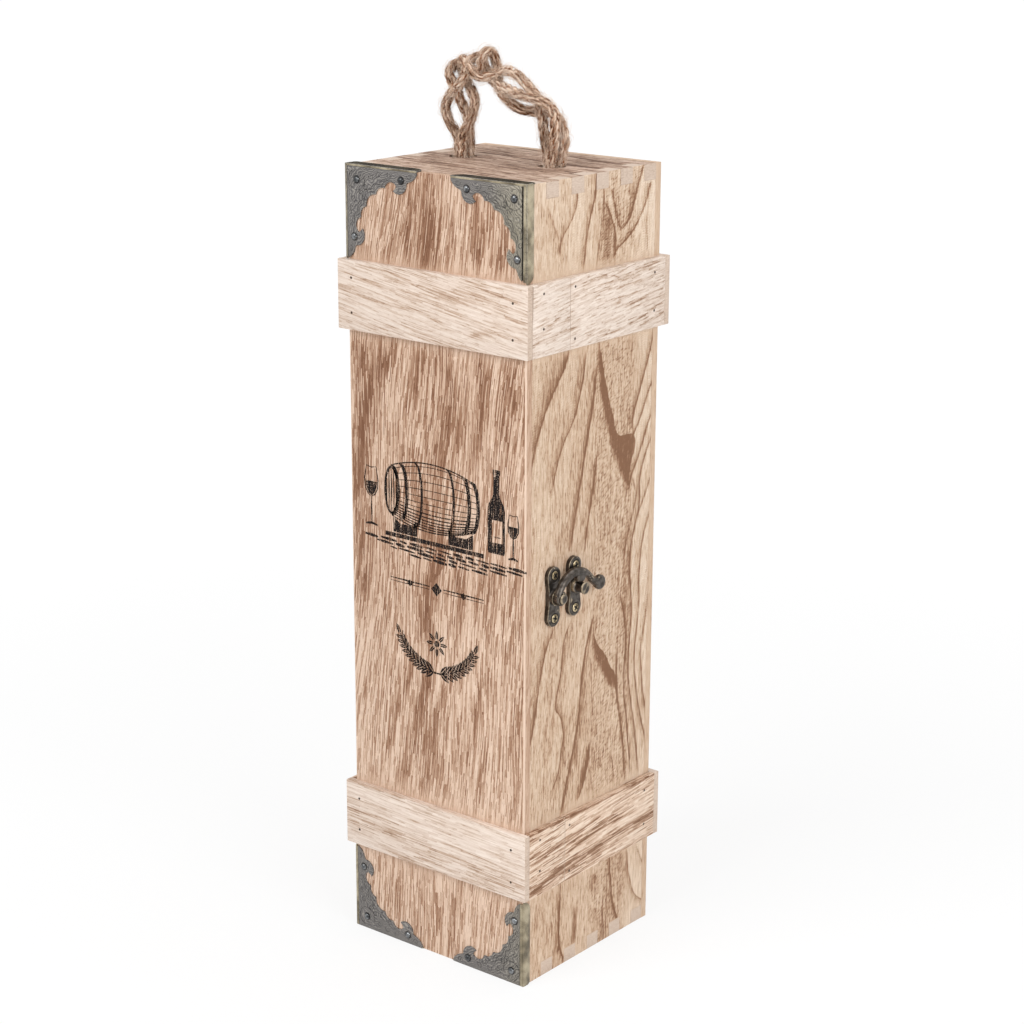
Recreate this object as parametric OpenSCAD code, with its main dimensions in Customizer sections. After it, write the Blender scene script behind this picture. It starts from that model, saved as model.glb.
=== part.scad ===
// Hinged wooden box for one wine bottle, with two proud bands, corner
// brackets, a swing-hook latch and a braided rope handle.
// Millimetres. Origin at the centre of the base, front face towards -Y,
// latch on the +X side, hinges on the -X side, +Z up.

/* [Box] */
// Width across the front
box_w = 100; // [90:1:130]
// Depth from front face to back face
box_d = 94; // [86:1:120]
// Height of the wooden body
box_h = 360; // [330:1:400]
// Thickness of the side, top and bottom boards
board_t = 7; // [6:0.5:9]
// Thickness of the front and back panels
face_t = 4; // [3:0.5:5]
// Depth of the front part that opens
lid_d = 25.6; // [22:0.2:30]
// Saw gap between the lid and the case
seam_gap = 0.4; // [0.2:0.1:0.8]
// Finger divisions along each corner of the frame
finger_count = 10; // [6:2:14]

/* [Bands] */
// Thickness of the band slats
band_t = 3.3; // [2.5:0.1:4]
// Height of the band slats
band_h = 31; // [26:1:36]
// Height of the lower band above the base
lower_band_z = 43; // [41:1:60]
// Height of the upper band above the base
upper_band_z = 288; // [260:1:288]
// Radius of the brads that hold the slats
brad_r = 0.6; // [0.4:0.1:0.8]
// Length of the brads in the front and back slats
brad_l = 9; // [7:0.5:10]

/* [Corner brackets] */
// Length of a bracket arm
arm_l = 41; // [41:1:41]
// Thickness of the bracket sheet
bracket_t = 0.6; // [0.4:0.1:0.8]
// Width of the folded edges
flange_w = 4; // [3:0.5:5]
// Radius of a nail head
nail_head_r = 1.5; // [1.2:0.1:1.8]
// Height of a nail head
nail_head_h = 1; // [0.7:0.1:1.3]
// Radius of a nail
nail_r = 0.6; // [0.4:0.1:0.7]
// Length of a nail below its head
nail_l = 6.5; // [5:0.5:7]

/* [Latch] */
// Height of the hook pivot above the base
latch_z = 180; // [120:1:240]
// Width of the latch plates
plate_w = 8.8; // [8:0.2:10]
// Height of the latch plates
plate_h = 27.2; // [25:0.2:30]
// Thickness of the latch plates
plate_t = 2.4; // [2:0.1:3]
// Distance of the hook plate's centre line in front of the seam
hook_plate_offset = 8; // [6:0.2:9]
// Distance of the catch plate's centre line behind the seam
catch_plate_offset = 6.8; // [6:0.2:9]
// Thickness of the hook
hook_t = 3; // [2.5:0.1:3.5]
// Radius of the hook's arm, along its middle
arm_r = 13.9; // [13.9:0.1:13.9]
// Width of the hook's arm
arm_w = 3; // [2.6:0.1:3.4]
// Radius of the hook's pivot rivet
rivet_r = 1.5; // [1.2:0.1:1.8]
// Radius of the catch peg's stem
peg_r = 2.3; // [2:0.1:2.4]
// Radius of the catch peg's head
peg_head_r = 3.1; // [2.6:0.1:3.4]

/* [Hinges] */
// Height of a hinge
hinge_h = 22; // [18:1:26]
// Width of a hinge leaf, from the pin's axis
leaf_w = 16; // [13:0.5:18]
// Thickness of a hinge leaf
leaf_t = 1; // [0.8:0.1:1.2]
// Outer radius of the hinge barrel
barrel_r = 2.4; // [2.1:0.1:2.6]
// Radius of the hinge pin
hinge_pin_r = 1.2; // [1:0.1:1.3]

/* [Screws] */
// Radius of a screw head
screw_head_r = 2; // [1.8:0.1:2.2]
// Height of a screw head
screw_head_h = 0.7; // [0.5:0.1:0.9]
// Radius of a screw shank
screw_r = 1; // [0.8:0.1:1.1]
// Length of a screw in the wood
screw_l = 5; // [4:0.5:6]

/* [Rope handle] */
// Diameter of one rope strand
strand_d = 4.4; // [4:0.1:4.4]
// Radius of the holes in the top board
rope_hole_r = 6.2; // [5.6:0.1:7]
// Distance between the holes
rope_hole_gap = 50; // [50:1:50]
// Height of a knot under the top board
knot_h = 15; // [12:1:18]
// Radius of a knot
knot_r = 8.5; // [8:0.5:9]

/* [Hidden] */

$fn = 48;

// Colours
front_wood = [0.80, 0.64, 0.50];
side_wood = [0.84, 0.73, 0.59];
band_wood = [0.92, 0.84, 0.73];
top_wood = [0.76, 0.62, 0.50];
aged_brass = [0.42, 0.41, 0.34];
dark_bronze = [0.27, 0.24, 0.21];
jute = [0.64, 0.49, 0.36];
brad_steel = [0.45, 0.38, 0.30];

// Outer faces of the body and the planes between its parts
half_w = box_w / 2;
front_y = -box_d / 2;
back_y = box_d / 2;
panel_y = front_y + face_t;
frame_back_y = back_y - face_t;
seam_y = front_y + lid_d;
lid_end_y = seam_y - seam_gap / 2;
case_end_y = seam_y + seam_gap / 2;
frame_d = frame_back_y - panel_y;
finger_w = frame_d / finger_count;
band_x = half_w + band_t;
eps = 0.01;
function unit(v) = v / norm(v);

// Running gap of a nail, brad or screw in its pilot hole
pilot_gap = 0.03;
// Depth of a brad's head below the slat
brad_sink = 0.2;
// Distance of the brads from the ends of the slats
brad_edge = 8;
// Heights of the brads on a slat, as shares of its height
brad_shares = [0.25, 0.75];
band_zs = [lower_band_z, upper_band_z];

// ---------------------------------------------------------------- boards

// Notches in a board's end that take the fingers of its neighbour.
// side = true cuts the places of the top and bottom fingers.
module finger_notches(side) {
    for (i = [0 : finger_count - 1])
        if ((i % 2 == 0) == side) {
            notch_y = frame_back_y - (i + 1) * finger_w;
            if (side)
                for (z = [-eps, box_h - board_t])
                    translate([-half_w - eps, notch_y, z])
                        cube([box_w + 2 * eps, finger_w, board_t + eps]);
            else
                for (x = [-half_w - eps, half_w - board_t])
                    translate([x, notch_y, -eps])
                        cube([board_t + eps, finger_w, box_h + 2 * eps]);
        }
}

// A side board from y0 to y1, sign = -1 on the left and 1 on the right
module side_board(y0, y1, sign) {
    x0 = sign > 0 ? half_w - board_t : -half_w;
    difference() {
        translate([x0, y0, 0]) cube([board_t, y1 - y0, box_h]);
        finger_notches(true);
    }
}

// A top or bottom board from y0 to y1 with its underside at z0
module end_board(y0, y1, z0) {
    difference() {
        translate([-half_w, y0, z0]) cube([box_w, y1 - y0, board_t]);
        finger_notches(false);
    }
}

module front_panel() {
    color(front_wood) difference() {
        translate([-half_w, front_y, 0]) cube([box_w, face_t, box_h]);
        bracket_let_in();
        front_brads(pilot_gap);
        nails(pilot_gap);
    }
}

module back_panel() {
    color(side_wood) difference() {
        translate([-half_w, frame_back_y, 0]) cube([box_w, face_t, box_h]);
        back_brads(pilot_gap);
    }
}

module lid_left_rail() {
    color(side_wood) difference() {
        side_board(panel_y, lid_end_y, -1);
        front_brads(pilot_gap);
        lid_side_brads(pilot_gap);
        nails(pilot_gap);
        lid_leaf_screws(pilot_gap);
    }
}

module lid_right_rail() {
    color(side_wood) difference() {
        side_board(panel_y, lid_end_y, 1);
        front_brads(pilot_gap);
        lid_side_brads(pilot_gap);
        nails(pilot_gap);
        hook_screws(pilot_gap);
    }
}

module lid_top_rail() {
    color(top_wood) difference() {
        end_board(panel_y, lid_end_y, box_h - board_t);
        nails(pilot_gap);
    }
}

module lid_bottom_rail() {
    color(side_wood) difference() {
        end_board(panel_y, lid_end_y, 0);
        nails(pilot_gap);
    }
}

module case_left_wall() {
    color(side_wood) difference() {
        side_board(case_end_y, frame_back_y, -1);
        case_side_brads(pilot_gap);
        back_brads(pilot_gap);
        case_leaf_screws(pilot_gap);
    }
}

module case_right_wall() {
    color(side_wood) difference() {
        side_board(case_end_y, frame_back_y, 1);
        case_side_brads(pilot_gap);
        back_brads(pilot_gap);
        catch_screws(pilot_gap);
    }
}

module case_top() {
    color(top_wood) difference() {
        end_board(case_end_y, frame_back_y, box_h - board_t);
        for (x = rope_hole_xs)
            translate([x, rope_y, box_h - board_t - 1])
                cylinder(r = rope_hole_r, h = board_t + 2);
    }
}

module case_bottom() {
    color(side_wood) end_board(case_end_y, frame_back_y, 0);
}

// ----------------------------------------------------------------- bands

// A slat on the outside of a side wall
module side_slat(y0, y1, z0, sign) {
    x0 = sign > 0 ? half_w : -band_x;
    translate([x0, y0, z0]) cube([band_t, y1 - y0, band_h]);
}

module front_slat(z0) {
    color(band_wood) difference() {
        translate([-band_x, front_y - band_t, z0]) cube([2 * band_x, band_t, band_h]);
        front_brads(pilot_gap);
    }
}

module back_slat(z0) {
    color(band_wood) difference() {
        translate([-band_x, back_y, z0]) cube([2 * band_x, band_t, band_h]);
        back_brads(pilot_gap);
    }
}

module lid_slat(z0, sign) {
    color(band_wood) difference() {
        side_slat(front_y, lid_end_y, z0, sign);
        lid_side_brads(pilot_gap);
        lid_leaf_screws(pilot_gap);
    }
}

module case_slat(z0, sign) {
    color(band_wood) difference() {
        side_slat(case_end_y, back_y, z0, sign);
        case_side_brads(pilot_gap);
        case_leaf_screws(pilot_gap);
    }
}

module upper_band_back() { back_slat(upper_band_z); }
module upper_band_case_left() { case_slat(upper_band_z, -1); }
module upper_band_case_right() { case_slat(upper_band_z, 1); }
module lower_band_back() { back_slat(lower_band_z); }
module lower_band_case_left() { case_slat(lower_band_z, -1); }
module lower_band_case_right() { case_slat(lower_band_z, 1); }
module upper_band_front() { front_slat(upper_band_z); }
module upper_band_lid_left() { lid_slat(upper_band_z, -1); }
module upper_band_lid_right() { lid_slat(upper_band_z, 1); }
module lower_band_front() { front_slat(lower_band_z); }
module lower_band_lid_left() { lid_slat(lower_band_z, -1); }
module lower_band_lid_right() { lid_slat(lower_band_z, 1); }

// One brad, driven along +Y from the slat's face at y = 0
module brad(grow, length) {
    rotate([-90, 0, 0])
        translate([0, 0, grow > 0 ? -1 : brad_sink])
            cylinder(r = brad_r + grow, h = length + (grow > 0 ? 1 : -brad_sink));
}

// Brads through the front slats, two at each end
module front_brads(grow = 0) {
    for (z0 = band_zs, share = brad_shares, sign = [-1, 1])
        translate([sign * (band_x - brad_edge), front_y - band_t, z0 + share * band_h])
            brad(grow, brad_l);
}

module back_brads(grow = 0) {
    for (z0 = band_zs, share = brad_shares, sign = [-1, 1])
        translate([sign * (band_x - brad_edge), back_y + band_t, z0 + share * band_h])
            rotate([0, 0, 180]) brad(grow, brad_l);
}

// Brads through the side slats on the sides in signs, at each
// [y, height share] in places
module side_brads(places, signs, grow) {
    for (z0 = band_zs, place = places, sign = signs)
        translate([sign * band_x, place[0], z0 + place[1] * band_h])
            rotate([0, 0, sign * 90]) brad(grow, band_t + 0.7 * board_t);
}

lid_brad_places = [[front_y + 7.4, 0.38], [front_y + 7.4, 0.86]];
case_brad_places = [[back_y - brad_edge, 0.25], [back_y - brad_edge, 0.8]];
// Next to the seam, where the hinges leave room: on the right only
seam_brad_places = [[case_end_y + 3, 0.14], [case_end_y + 3, 0.86]];

module lid_side_brads(grow = 0) { side_brads(lid_brad_places, [-1, 1], grow); }
module case_side_brads(grow = 0) {
    side_brads(case_brad_places, [-1, 1], grow);
    side_brads(seam_brad_places, [1], grow);
}

module lid_band_brads() {
    color(brad_steel) {
        front_brads();
        lid_side_brads();
    }
}

module case_band_brads() {
    color(brad_steel) {
        back_brads();
        case_side_brads();
    }
}

// ------------------------------------------------------- corner brackets

// Points along a circular arc from a to b, without b itself, that bulges
// by rise to the right of the line a-b, or to the left where rise is negative
function arc_points(a, b, rise, steps = 6) =
    let (chord = b - a, len = norm(chord), side = [chord[1], -chord[0]] / len,
         arc_r = (len * len / 4 + rise * rise) / (2 * abs(rise)),
         half = asin(len / 2 / arc_r))
    [for (i = [0 : steps - 1])
        let (t = -half + 2 * half * i / steps)
        a + chord * (0.5 + arc_r * sin(t) / len)
          + side * sign(rise) * (arc_r * cos(t) - (arc_r - abs(rise)))];

// Half of the scalloped outline: [point, bulge of the arc to the next point],
// from the tip of the arm to the corner's diagonal. Positive bulges outwards.
scallops = [
    [[arm_l, 0], 0.9], [[36.2, 4.7], 0], [[34.8, 5.4], 2.9], [[27, 9.2], -0.3],
    [[28.9, 6.9], -2.2], [[22.3, 8.4], -1.3], [[17.2, 11.6], 0]
];
// How far the middle scallop cuts in across the diagonal
middle_bulge = 1.9;
function swapped(p) = [p[1], p[0]];
half_outline = [for (i = [0 : len(scallops) - 2])
    each scallops[i][1] == 0 ? [scallops[i][0]]
        : arc_points(scallops[i][0], scallops[i + 1][0], scallops[i][1])];
last_cusp = scallops[len(scallops) - 1][0];
// The whole scalloped edge, from the tip of one arm to the tip of the other
scalloped_edge = concat(
    half_outline,
    arc_points(last_cusp, swapped(last_cusp), -middle_bulge),
    [swapped(last_cusp)],
    [for (i = [len(half_outline) - 1 : -1 : 0]) swapped(half_outline[i])]
);

// Bevel of the folded edges where they meet at the box's corner
fold_bevel = 1;

// A folded edge from start along an arm, x along the arm and y into the box,
// bevelled at the corner and rounded at the tip
module fold(start) {
    linear_extrude(bracket_t) polygon(concat(
        [[start, -bracket_t / 2], [start, flange_w - fold_bevel],
            [start + fold_bevel, flange_w], [arm_l - flange_w, flange_w]],
        [for (t = [75 : -15 : 0])
            [arm_l - flange_w + flange_w * cos(t), flange_w * sin(t)]],
        [[arm_l, -bracket_t / 2]]
    ));
}

// Places of the nails: [along one arm, along the other arm]
nail_places = [[6.3, 6], [31.8, 4.3], [4.6, 31]];

// A bracket at the origin: +X and +Z run along its arms, +Y into the box.
// let_in sinks the edge that folds under the box.
module bracket(let_in) {
    t = bracket_t;
    edge = let_in ? 0 : -t;
    corner = let_in ? [[-t, 0]] : [[-t, -t], [arm_l, -t]];
    color(aged_brass) difference() {
        union() {
            rotate([90, 0, 0]) linear_extrude(t)
                polygon(concat(corner, scalloped_edge, [[-t, arm_l]]));
            rotate([0, -90, 0]) fold(0);
            translate([0, 0, edge]) fold(edge);
        }
        for (place = nail_places) translate([place[0], 0, place[1]]) nail(pilot_gap);
    }
}

// Puts its children at a corner of the front face
module at_corner(sign_x, top) {
    translate([sign_x * half_w, front_y, top ? box_h : 0])
        mirror([sign_x > 0 ? 1 : 0, 0, 0]) mirror([0, 0, top ? 1 : 0]) children();
}

module bracket_top_left() { at_corner(-1, true) bracket(false); }
module bracket_top_right() { at_corner(1, true) bracket(false); }
module bracket_bottom_left() { at_corner(-1, false) bracket(true); }
module bracket_bottom_right() { at_corner(1, false) bracket(true); }

// Recesses under the front panel for the lower brackets' folded edges
module bracket_let_in() {
    for (sign_x = [-1, 1])
        at_corner(sign_x, false)
            translate([-1, -1, -1]) cube([arm_l + 1, flange_w + 2, bracket_t + 1]);
}

// A spherical cap of radius r and height h on the plane z = 0
module dome(r, h) {
    ball_r = (r * r + h * h) / (2 * h);
    intersection() {
        translate([0, 0, h - ball_r]) sphere(r = ball_r);
        translate([-r - 1, -r - 1, 0]) cube([2 * r + 2, 2 * r + 2, h + 1]);
    }
}

// A nail through a bracket, driven along +Y from the front face at y = 0
module nail(grow) {
    rotate([90, 0, 0]) {
        translate([0, 0, -nail_l]) cylinder(r = nail_r + grow, h = nail_l + 1 - eps);
        if (grow == 0) translate([0, 0, bracket_t]) dome(nail_head_r, nail_head_h);
    }
}

module nails(grow = 0) {
    for (sign_x = [-1, 1], top = [false, true], place = nail_places)
        at_corner(sign_x, top) translate([place[0], 0, place[1]]) nail(grow);
}

module bracket_nails() { color(dark_bronze) nails(); }

// ----------------------------------------------------------------- latch

hook_y = seam_y - hook_plate_offset;
catch_y = seam_y + catch_plate_offset;
plate_x = half_w + plate_t;
// Boss that carries the hook clear of the seam, and foot of the stud
boss_t = 1.5;
boss_r = 3.6;
// Running gap on each side of the hook and over the stud
hook_gap = 0.2;
rivet_head_r = 2.9;
// Running gap of the rivet in the hook and of the pins in the hinges
pivot_gap = 0.05;
hook_x = plate_x + boss_t + hook_gap;
// The arm is a ring around a point below the peg; its outer edge runs into
// the hub's. Places of the hook's parts are [to the back, up] from its pivot.
arm_centre = [10.9, -4.5];
arm_end_angle = 34;
disc_centre = [27.6, 0.8];
disc_r = 3.4;
tooth_centre = [14, 7];
tooth_r = 3;
neck = [[22.5, 5.2], [26.2, 3.6], [24.8, -0.9], [20.6, 3.5]];
peg_z = latch_z + tooth_centre[1] - tooth_r - hook_gap - peg_r;
catch_z = latch_z + 1.3;
// Plane behind the heads of the rivet and the stud, and the plane they reach
head_x = hook_x + hook_t + hook_gap;
head_end_x = band_x + 2 * barrel_r;
plate_screw_dz = 9.8;

// A plate with round ends, thickness along +X, centred on y = 0, z = 0
module latch_plate() {
    rotate([90, 0, 90]) linear_extrude(plate_t) union() {
        square([plate_w, plate_h - plate_w], center = true);
        for (s = [-1, 1]) translate([0, s * (plate_h - plate_w) / 2]) circle(d = plate_w);
    }
}

// Cross slot and bevel of a screw's head
slot_l = 2.2;
slot_w = 0.5;
slot_d = 0.4;
screw_bevel = 0.4;

// A screw driven along -X into wood through a plate of thickness t whose face
// is at x = 0, or the hole for it where grow > 0
module screw(t, grow) {
    rotate([0, 90, 0]) {
        translate([0, 0, -t - screw_l])
            cylinder(r = screw_r + grow, h = t + screw_l + (grow > 0 ? screw_l : eps));
        if (grow == 0) difference() {
            cylinder(r1 = screw_head_r, r2 = screw_head_r - screw_bevel, h = screw_head_h);
            for (turn = [0, 90]) rotate([0, 0, turn])
                translate([0, 0, screw_head_h])
                    cube([slot_l, slot_w, 2 * slot_d], center = true);
        }
    }
}

// The two screws of a latch plate at y, z
module plate_screws(y, z, grow) {
    for (s = [-1, 1]) translate([plate_x, y, z + s * plate_screw_dz])
        screw(plate_t, grow);
}

module hook_screws(grow = 0) { plate_screws(hook_y, latch_z, grow); }
module catch_screws(grow = 0) { plate_screws(catch_y, catch_z, grow); }

module hook_plate_screws() { color(dark_bronze) hook_screws(); }
module catch_plate_screws() { color(dark_bronze) catch_screws(); }

module hook_plate() {
    color(dark_bronze) difference() {
        union() {
            translate([half_w, hook_y, latch_z]) latch_plate();
            translate([plate_x - eps, hook_y, latch_z]) rotate([0, 90, 0])
                cylinder(r = boss_r, h = boss_t + eps);
        }
        hook_screws(pilot_gap);
        translate([half_w - 1, hook_y, latch_z]) rotate([0, 90, 0])
            cylinder(r = rivet_r, h = plate_t + boss_t + 2);
    }
}

module hook_rivet() {
    shank_l = head_x - half_w;
    color(dark_bronze) translate([half_w, hook_y, latch_z]) rotate([0, 90, 0]) {
        cylinder(r = rivet_r, h = shank_l + eps);
        translate([0, 0, shank_l]) dome(rivet_head_r, head_end_x - head_x);
    }
}

module catch_plate() {
    color(dark_bronze) difference() {
        translate([half_w, catch_y, catch_z]) latch_plate();
        catch_screws(pilot_gap);
        translate([half_w - 1, catch_y, peg_z]) rotate([0, 90, 0])
            cylinder(r = rivet_r, h = plate_t + 2);
    }
}

// The stud that the hook drops over, riveted through the catch plate: a foot,
// a neck where the hook lies, and a head
module catch_stud() {
    head_t = head_end_x - head_x;
    color(dark_bronze) translate([half_w, catch_y, peg_z]) rotate([0, 90, 0]) {
        cylinder(r = rivet_r, h = plate_t + eps);
        translate([0, 0, plate_t]) cylinder(r = peg_head_r, h = boss_t);
        translate([0, 0, plate_t]) cylinder(r = peg_r, h = head_x - plate_x + eps);
        translate([0, 0, head_x - half_w]) {
            cylinder(r = peg_head_r, h = head_t / 2 + eps);
            translate([0, 0, head_t / 2])
                cylinder(r1 = peg_head_r, r2 = peg_head_r - head_t / 2, h = head_t / 2);
        }
    }
}

// The hook's arm around its pivot, x to the back of the box and y up
module hook_arm() {
    outer_r = arm_r + arm_w / 2;
    reach = 2 * outer_r;
    intersection() {
        translate(arm_centre) difference() {
            circle(r = outer_r, $fn = 96);
            circle(r = arm_r - arm_w / 2, $fn = 96);
        }
        polygon([arm_centre, arm_centre - reach * unit(arm_centre),
            arm_centre + [-reach, reach], arm_centre + [reach, reach],
            arm_centre + reach * [cos(arm_end_angle), sin(arm_end_angle)]]);
    }
}

module latch_hook() {
    color(dark_bronze) translate([hook_x, hook_y, latch_z]) rotate([90, 0, 90])
        difference() {
            union() {
                linear_extrude(hook_t) hook_arm();
                linear_extrude(hook_t) polygon(neck);
                cylinder(r = boss_r, h = hook_t);
                translate(tooth_centre) cylinder(r = tooth_r, h = hook_t);
                translate(disc_centre) cylinder(r = disc_r, h = hook_t);
            }
            translate([0, 0, -1]) cylinder(r = rivet_r + pivot_gap, h = hook_t + 2);
        }
}

// ---------------------------------------------------------------- hinges

axis_x = -(band_x + barrel_r);
// Gap at each joint between knuckles
knuckle_gap = 0.15;
// Gap between a barrel and the leaf it doesn't belong to
leaf_gap = 0.3;
pin_head_h = 0.6;
pin_head_r = barrel_r - 0.4;
knuckle_h = hinge_h / 3;
hinge_zs = [lower_band_z + (band_h - hinge_h) / 2, upper_band_z + (band_h - hinge_h) / 2];
leaf_screw_y = 0.66 * leaf_w;
leaf_screw_zs = [0.24 * hinge_h, 0.76 * hinge_h];

// A leaf from z0 up; sign = 1 for the case, -1 for the lid.
// knuckles lists which of the three barrel thirds belong to it.
module hinge_leaf(z0, sign, knuckles, grow = 0) {
    clear = barrel_r + leaf_gap;
    color(aged_brass) translate([axis_x, seam_y, z0]) difference() {
        union() {
            translate([barrel_r - leaf_t, sign > 0 ? clear : -leaf_w, 0])
                cube([leaf_t, leaf_w - clear, hinge_h]);
            for (k = knuckles) {
                low = k * knuckle_h + (k > 0 ? knuckle_gap : 0);
                high = (k + 1) * knuckle_h - (k < 2 ? knuckle_gap : 0);
                translate([0, 0, low]) cylinder(r = barrel_r, h = high - low);
                translate([barrel_r - leaf_t, sign > 0 ? 0 : -clear - eps, low])
                    cube([leaf_t, clear + eps, high - low]);
            }
        }
        translate([0, 0, -1]) cylinder(r = hinge_pin_r + pivot_gap, h = hinge_h + 2);
        for (z = leaf_screw_zs) translate([0, sign * leaf_screw_y, z])
            rotate([0, 90, 0]) cylinder(r = screw_r + pilot_gap, h = 10);
    }
}

module upper_hinge_case_leaf() { hinge_leaf(hinge_zs[1], 1, [0, 2]); }
module lower_hinge_case_leaf() { hinge_leaf(hinge_zs[0], 1, [0, 2]); }
module upper_hinge_lid_leaf() { hinge_leaf(hinge_zs[1], -1, [1]); }
module lower_hinge_lid_leaf() { hinge_leaf(hinge_zs[0], -1, [1]); }

module hinge_pins() {
    color(aged_brass) for (z0 = hinge_zs) translate([axis_x, seam_y, z0 - pin_head_h]) {
        cylinder(r = hinge_pin_r, h = hinge_h + 2 * pin_head_h);
        cylinder(r = pin_head_r, h = pin_head_h);
        translate([0, 0, hinge_h + pin_head_h]) cylinder(r = pin_head_r, h = pin_head_h);
    }
}

// Screws of the leaves on one side of the seam, driven along +X
module leaf_screws(sign, grow) {
    for (z0 = hinge_zs, z = leaf_screw_zs)
        translate([-band_x - leaf_t, seam_y + sign * leaf_screw_y, z0 + z])
            rotate([0, 0, 180]) screw(leaf_t, grow);
}

module case_leaf_screws(grow = 0) { leaf_screws(1, grow); }
module lid_leaf_screws(grow = 0) { leaf_screws(-1, grow); }
module case_hinge_screws() { color(aged_brass) case_leaf_screws(); }
module lid_hinge_screws() { color(aged_brass) lid_leaf_screws(); }

// ----------------------------------------------------------- rope handle

rope_y = 5;
rope_mid_x = -3;
rope_hole_xs = [rope_mid_x - rope_hole_gap / 2, rope_mid_x + rope_hole_gap / 2];
strand_sides = 8;

// Middle lines of the three strands, from the left knot to the right knot
strand_routes = [
    [[-30.5, 6, 345], [-30.5, 6, 353], [-30.5, 6, 361], [-33, 7, 369], [-37, 6, 375],
     [-38, 5, 381], [-34, 4, 387], [-28, 2.5, 391.5], [-23.5, 1.5, 396],
     [-22, 3, 402], [-20.5, 7.5, 403], [-18, 9.5, 398], [-12.5, 8, 393.5],
     [-5, 5.5, 391.5], [4, 2.5, 390], [12, 1.5, 389], [19, 2.5, 387.5],
     [24, 3.5, 383.5], [25.5, 2.5, 377], [24.5, 2.5, 369], [23, 2.5, 361],
     [23, 2.5, 353], [23, 2.5, 345]],
    [[-27, 2.5, 345], [-27, 2.5, 353], [-27, 2.5, 361], [-25.5, 2.5, 370],
     [-20.5, 2, 378], [-20, 3.5, 385], [-24.5, 6, 390], [-30, 8.5, 394],
     [-30.5, 7, 400], [-26, 3.5, 402.5], [-21, 1.5, 399], [-16, 3, 395.5],
     [-11.5, 7, 397], [-6, 8.5, 398.5], [1, 7, 397], [8, 6, 393], [13.5, 6.5, 387],
     [14.5, 7.5, 380], [16, 7, 373], [18.5, 6, 366], [19.5, 6, 359],
     [19.5, 6, 352], [19.5, 6, 345]],
    [[-26, 7, 345], [-26, 7, 353], [-26, 7, 361], [-26.5, 8, 369], [-28, 8, 377],
     [-30, 6, 384], [-30.5, 3, 390.5], [-34, 3, 396], [-33, 7, 400],
     [-27.5, 9.5, 398], [-21, 7, 396.5], [-16, 3, 400], [-14, 3, 406],
     [-13, 7.5, 405.5], [-12, 9.5, 399], [-10, 7.5, 392.5], [-4, 5, 387.5],
     [3.5, 5, 383.5], [10, 8.5, 382], [17, 10, 382], [23.5, 9, 378.5],
     [27, 7, 372], [25.5, 7.5, 365], [24, 7, 359], [24, 7, 352], [24, 7, 345]]
];

// Direction of the route at point i
function heading(route, i) = unit(route[min(i + 1, len(route) - 1)] - route[max(i - 1, 0)]);
// A direction across the route at point i, carried along without twist
function across(route, i) = i == 0 ? [1, 0, 0]
    : let (h = heading(route, i), a = across(route, i - 1)) unit(a - h * (h * a));
// A ring of points around point i
function ring(route, i) =
    let (h = heading(route, i), a = across(route, i), b = cross(h, a))
    [for (k = [0 : strand_sides - 1])
        let (t = 360 * k / strand_sides)
        route[i] + strand_d / 2 * (a * cos(t) + b * sin(t))];

module strand(route) {
    n = len(route);
    s = strand_sides;
    points = [for (i = [0 : n - 1]) each ring(route, i)];
    walls = [for (i = [0 : n - 2], k = [0 : s - 1])
        [i * s + k, (i + 1) * s + k, (i + 1) * s + (k + 1) % s, i * s + (k + 1) % s]];
    ends = [[for (k = [0 : s - 1]) k], [for (k = [s - 1 : -1 : 0]) (n - 1) * s + k]];
    color(jute) polyhedron(points, concat(walls, ends), convexity = 6);
}

module rope_strand_1() { strand(strand_routes[0]); }
module rope_strand_2() { strand(strand_routes[1]); }
module rope_strand_3() { strand(strand_routes[2]); }

// A tied knot under the top board: a round body with a waist and a tuft
module knot(x) {
    color(jute) translate([x, rope_y, box_h - board_t - knot_h]) rotate_extrude()
        polygon([[0, 0], [3.2, 0], [3.8, 2.5], [knot_r - 1.5, 3.5], [knot_r, 6],
            [knot_r, knot_h - 4], [knot_r - 1.5, knot_h - 1], [5.5, knot_h], [0, knot_h]]);
}

module rope_knot_left() { knot(rope_hole_xs[0]); }
module rope_knot_right() { knot(rope_hole_xs[1]); }

back_panel();
case_left_wall();
case_right_wall();
case_top();
case_bottom();
upper_band_back();
upper_band_case_left();
upper_band_case_right();
lower_band_back();
lower_band_case_left();
lower_band_case_right();
case_band_brads();
catch_plate();
catch_stud();
catch_plate_screws();
upper_hinge_case_leaf();
lower_hinge_case_leaf();
hinge_pins();
case_hinge_screws();
rope_strand_1();
rope_strand_2();
rope_strand_3();
rope_knot_left();
rope_knot_right();
front_panel();
lid_left_rail();
lid_right_rail();
lid_top_rail();
lid_bottom_rail();
upper_band_front();
upper_band_lid_left();
upper_band_lid_right();
lower_band_front();
lower_band_lid_left();
lower_band_lid_right();
lid_band_brads();
bracket_top_left();
bracket_top_right();
bracket_bottom_left();
bracket_bottom_right();
bracket_nails();
hook_plate();
hook_plate_screws();
hook_rivet();
upper_hinge_lid_leaf();
lower_hinge_lid_leaf();
lid_hinge_screws();
latch_hook();
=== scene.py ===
"""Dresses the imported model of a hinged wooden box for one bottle."""
import logging
import math
import random
from dataclasses import dataclass
from enum import Enum
from typing import Callable, Mapping, Sequence

import bmesh
import bpy
from mathutils import Matrix, Vector
from mathutils.geometry import tessellate_polygon


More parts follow.
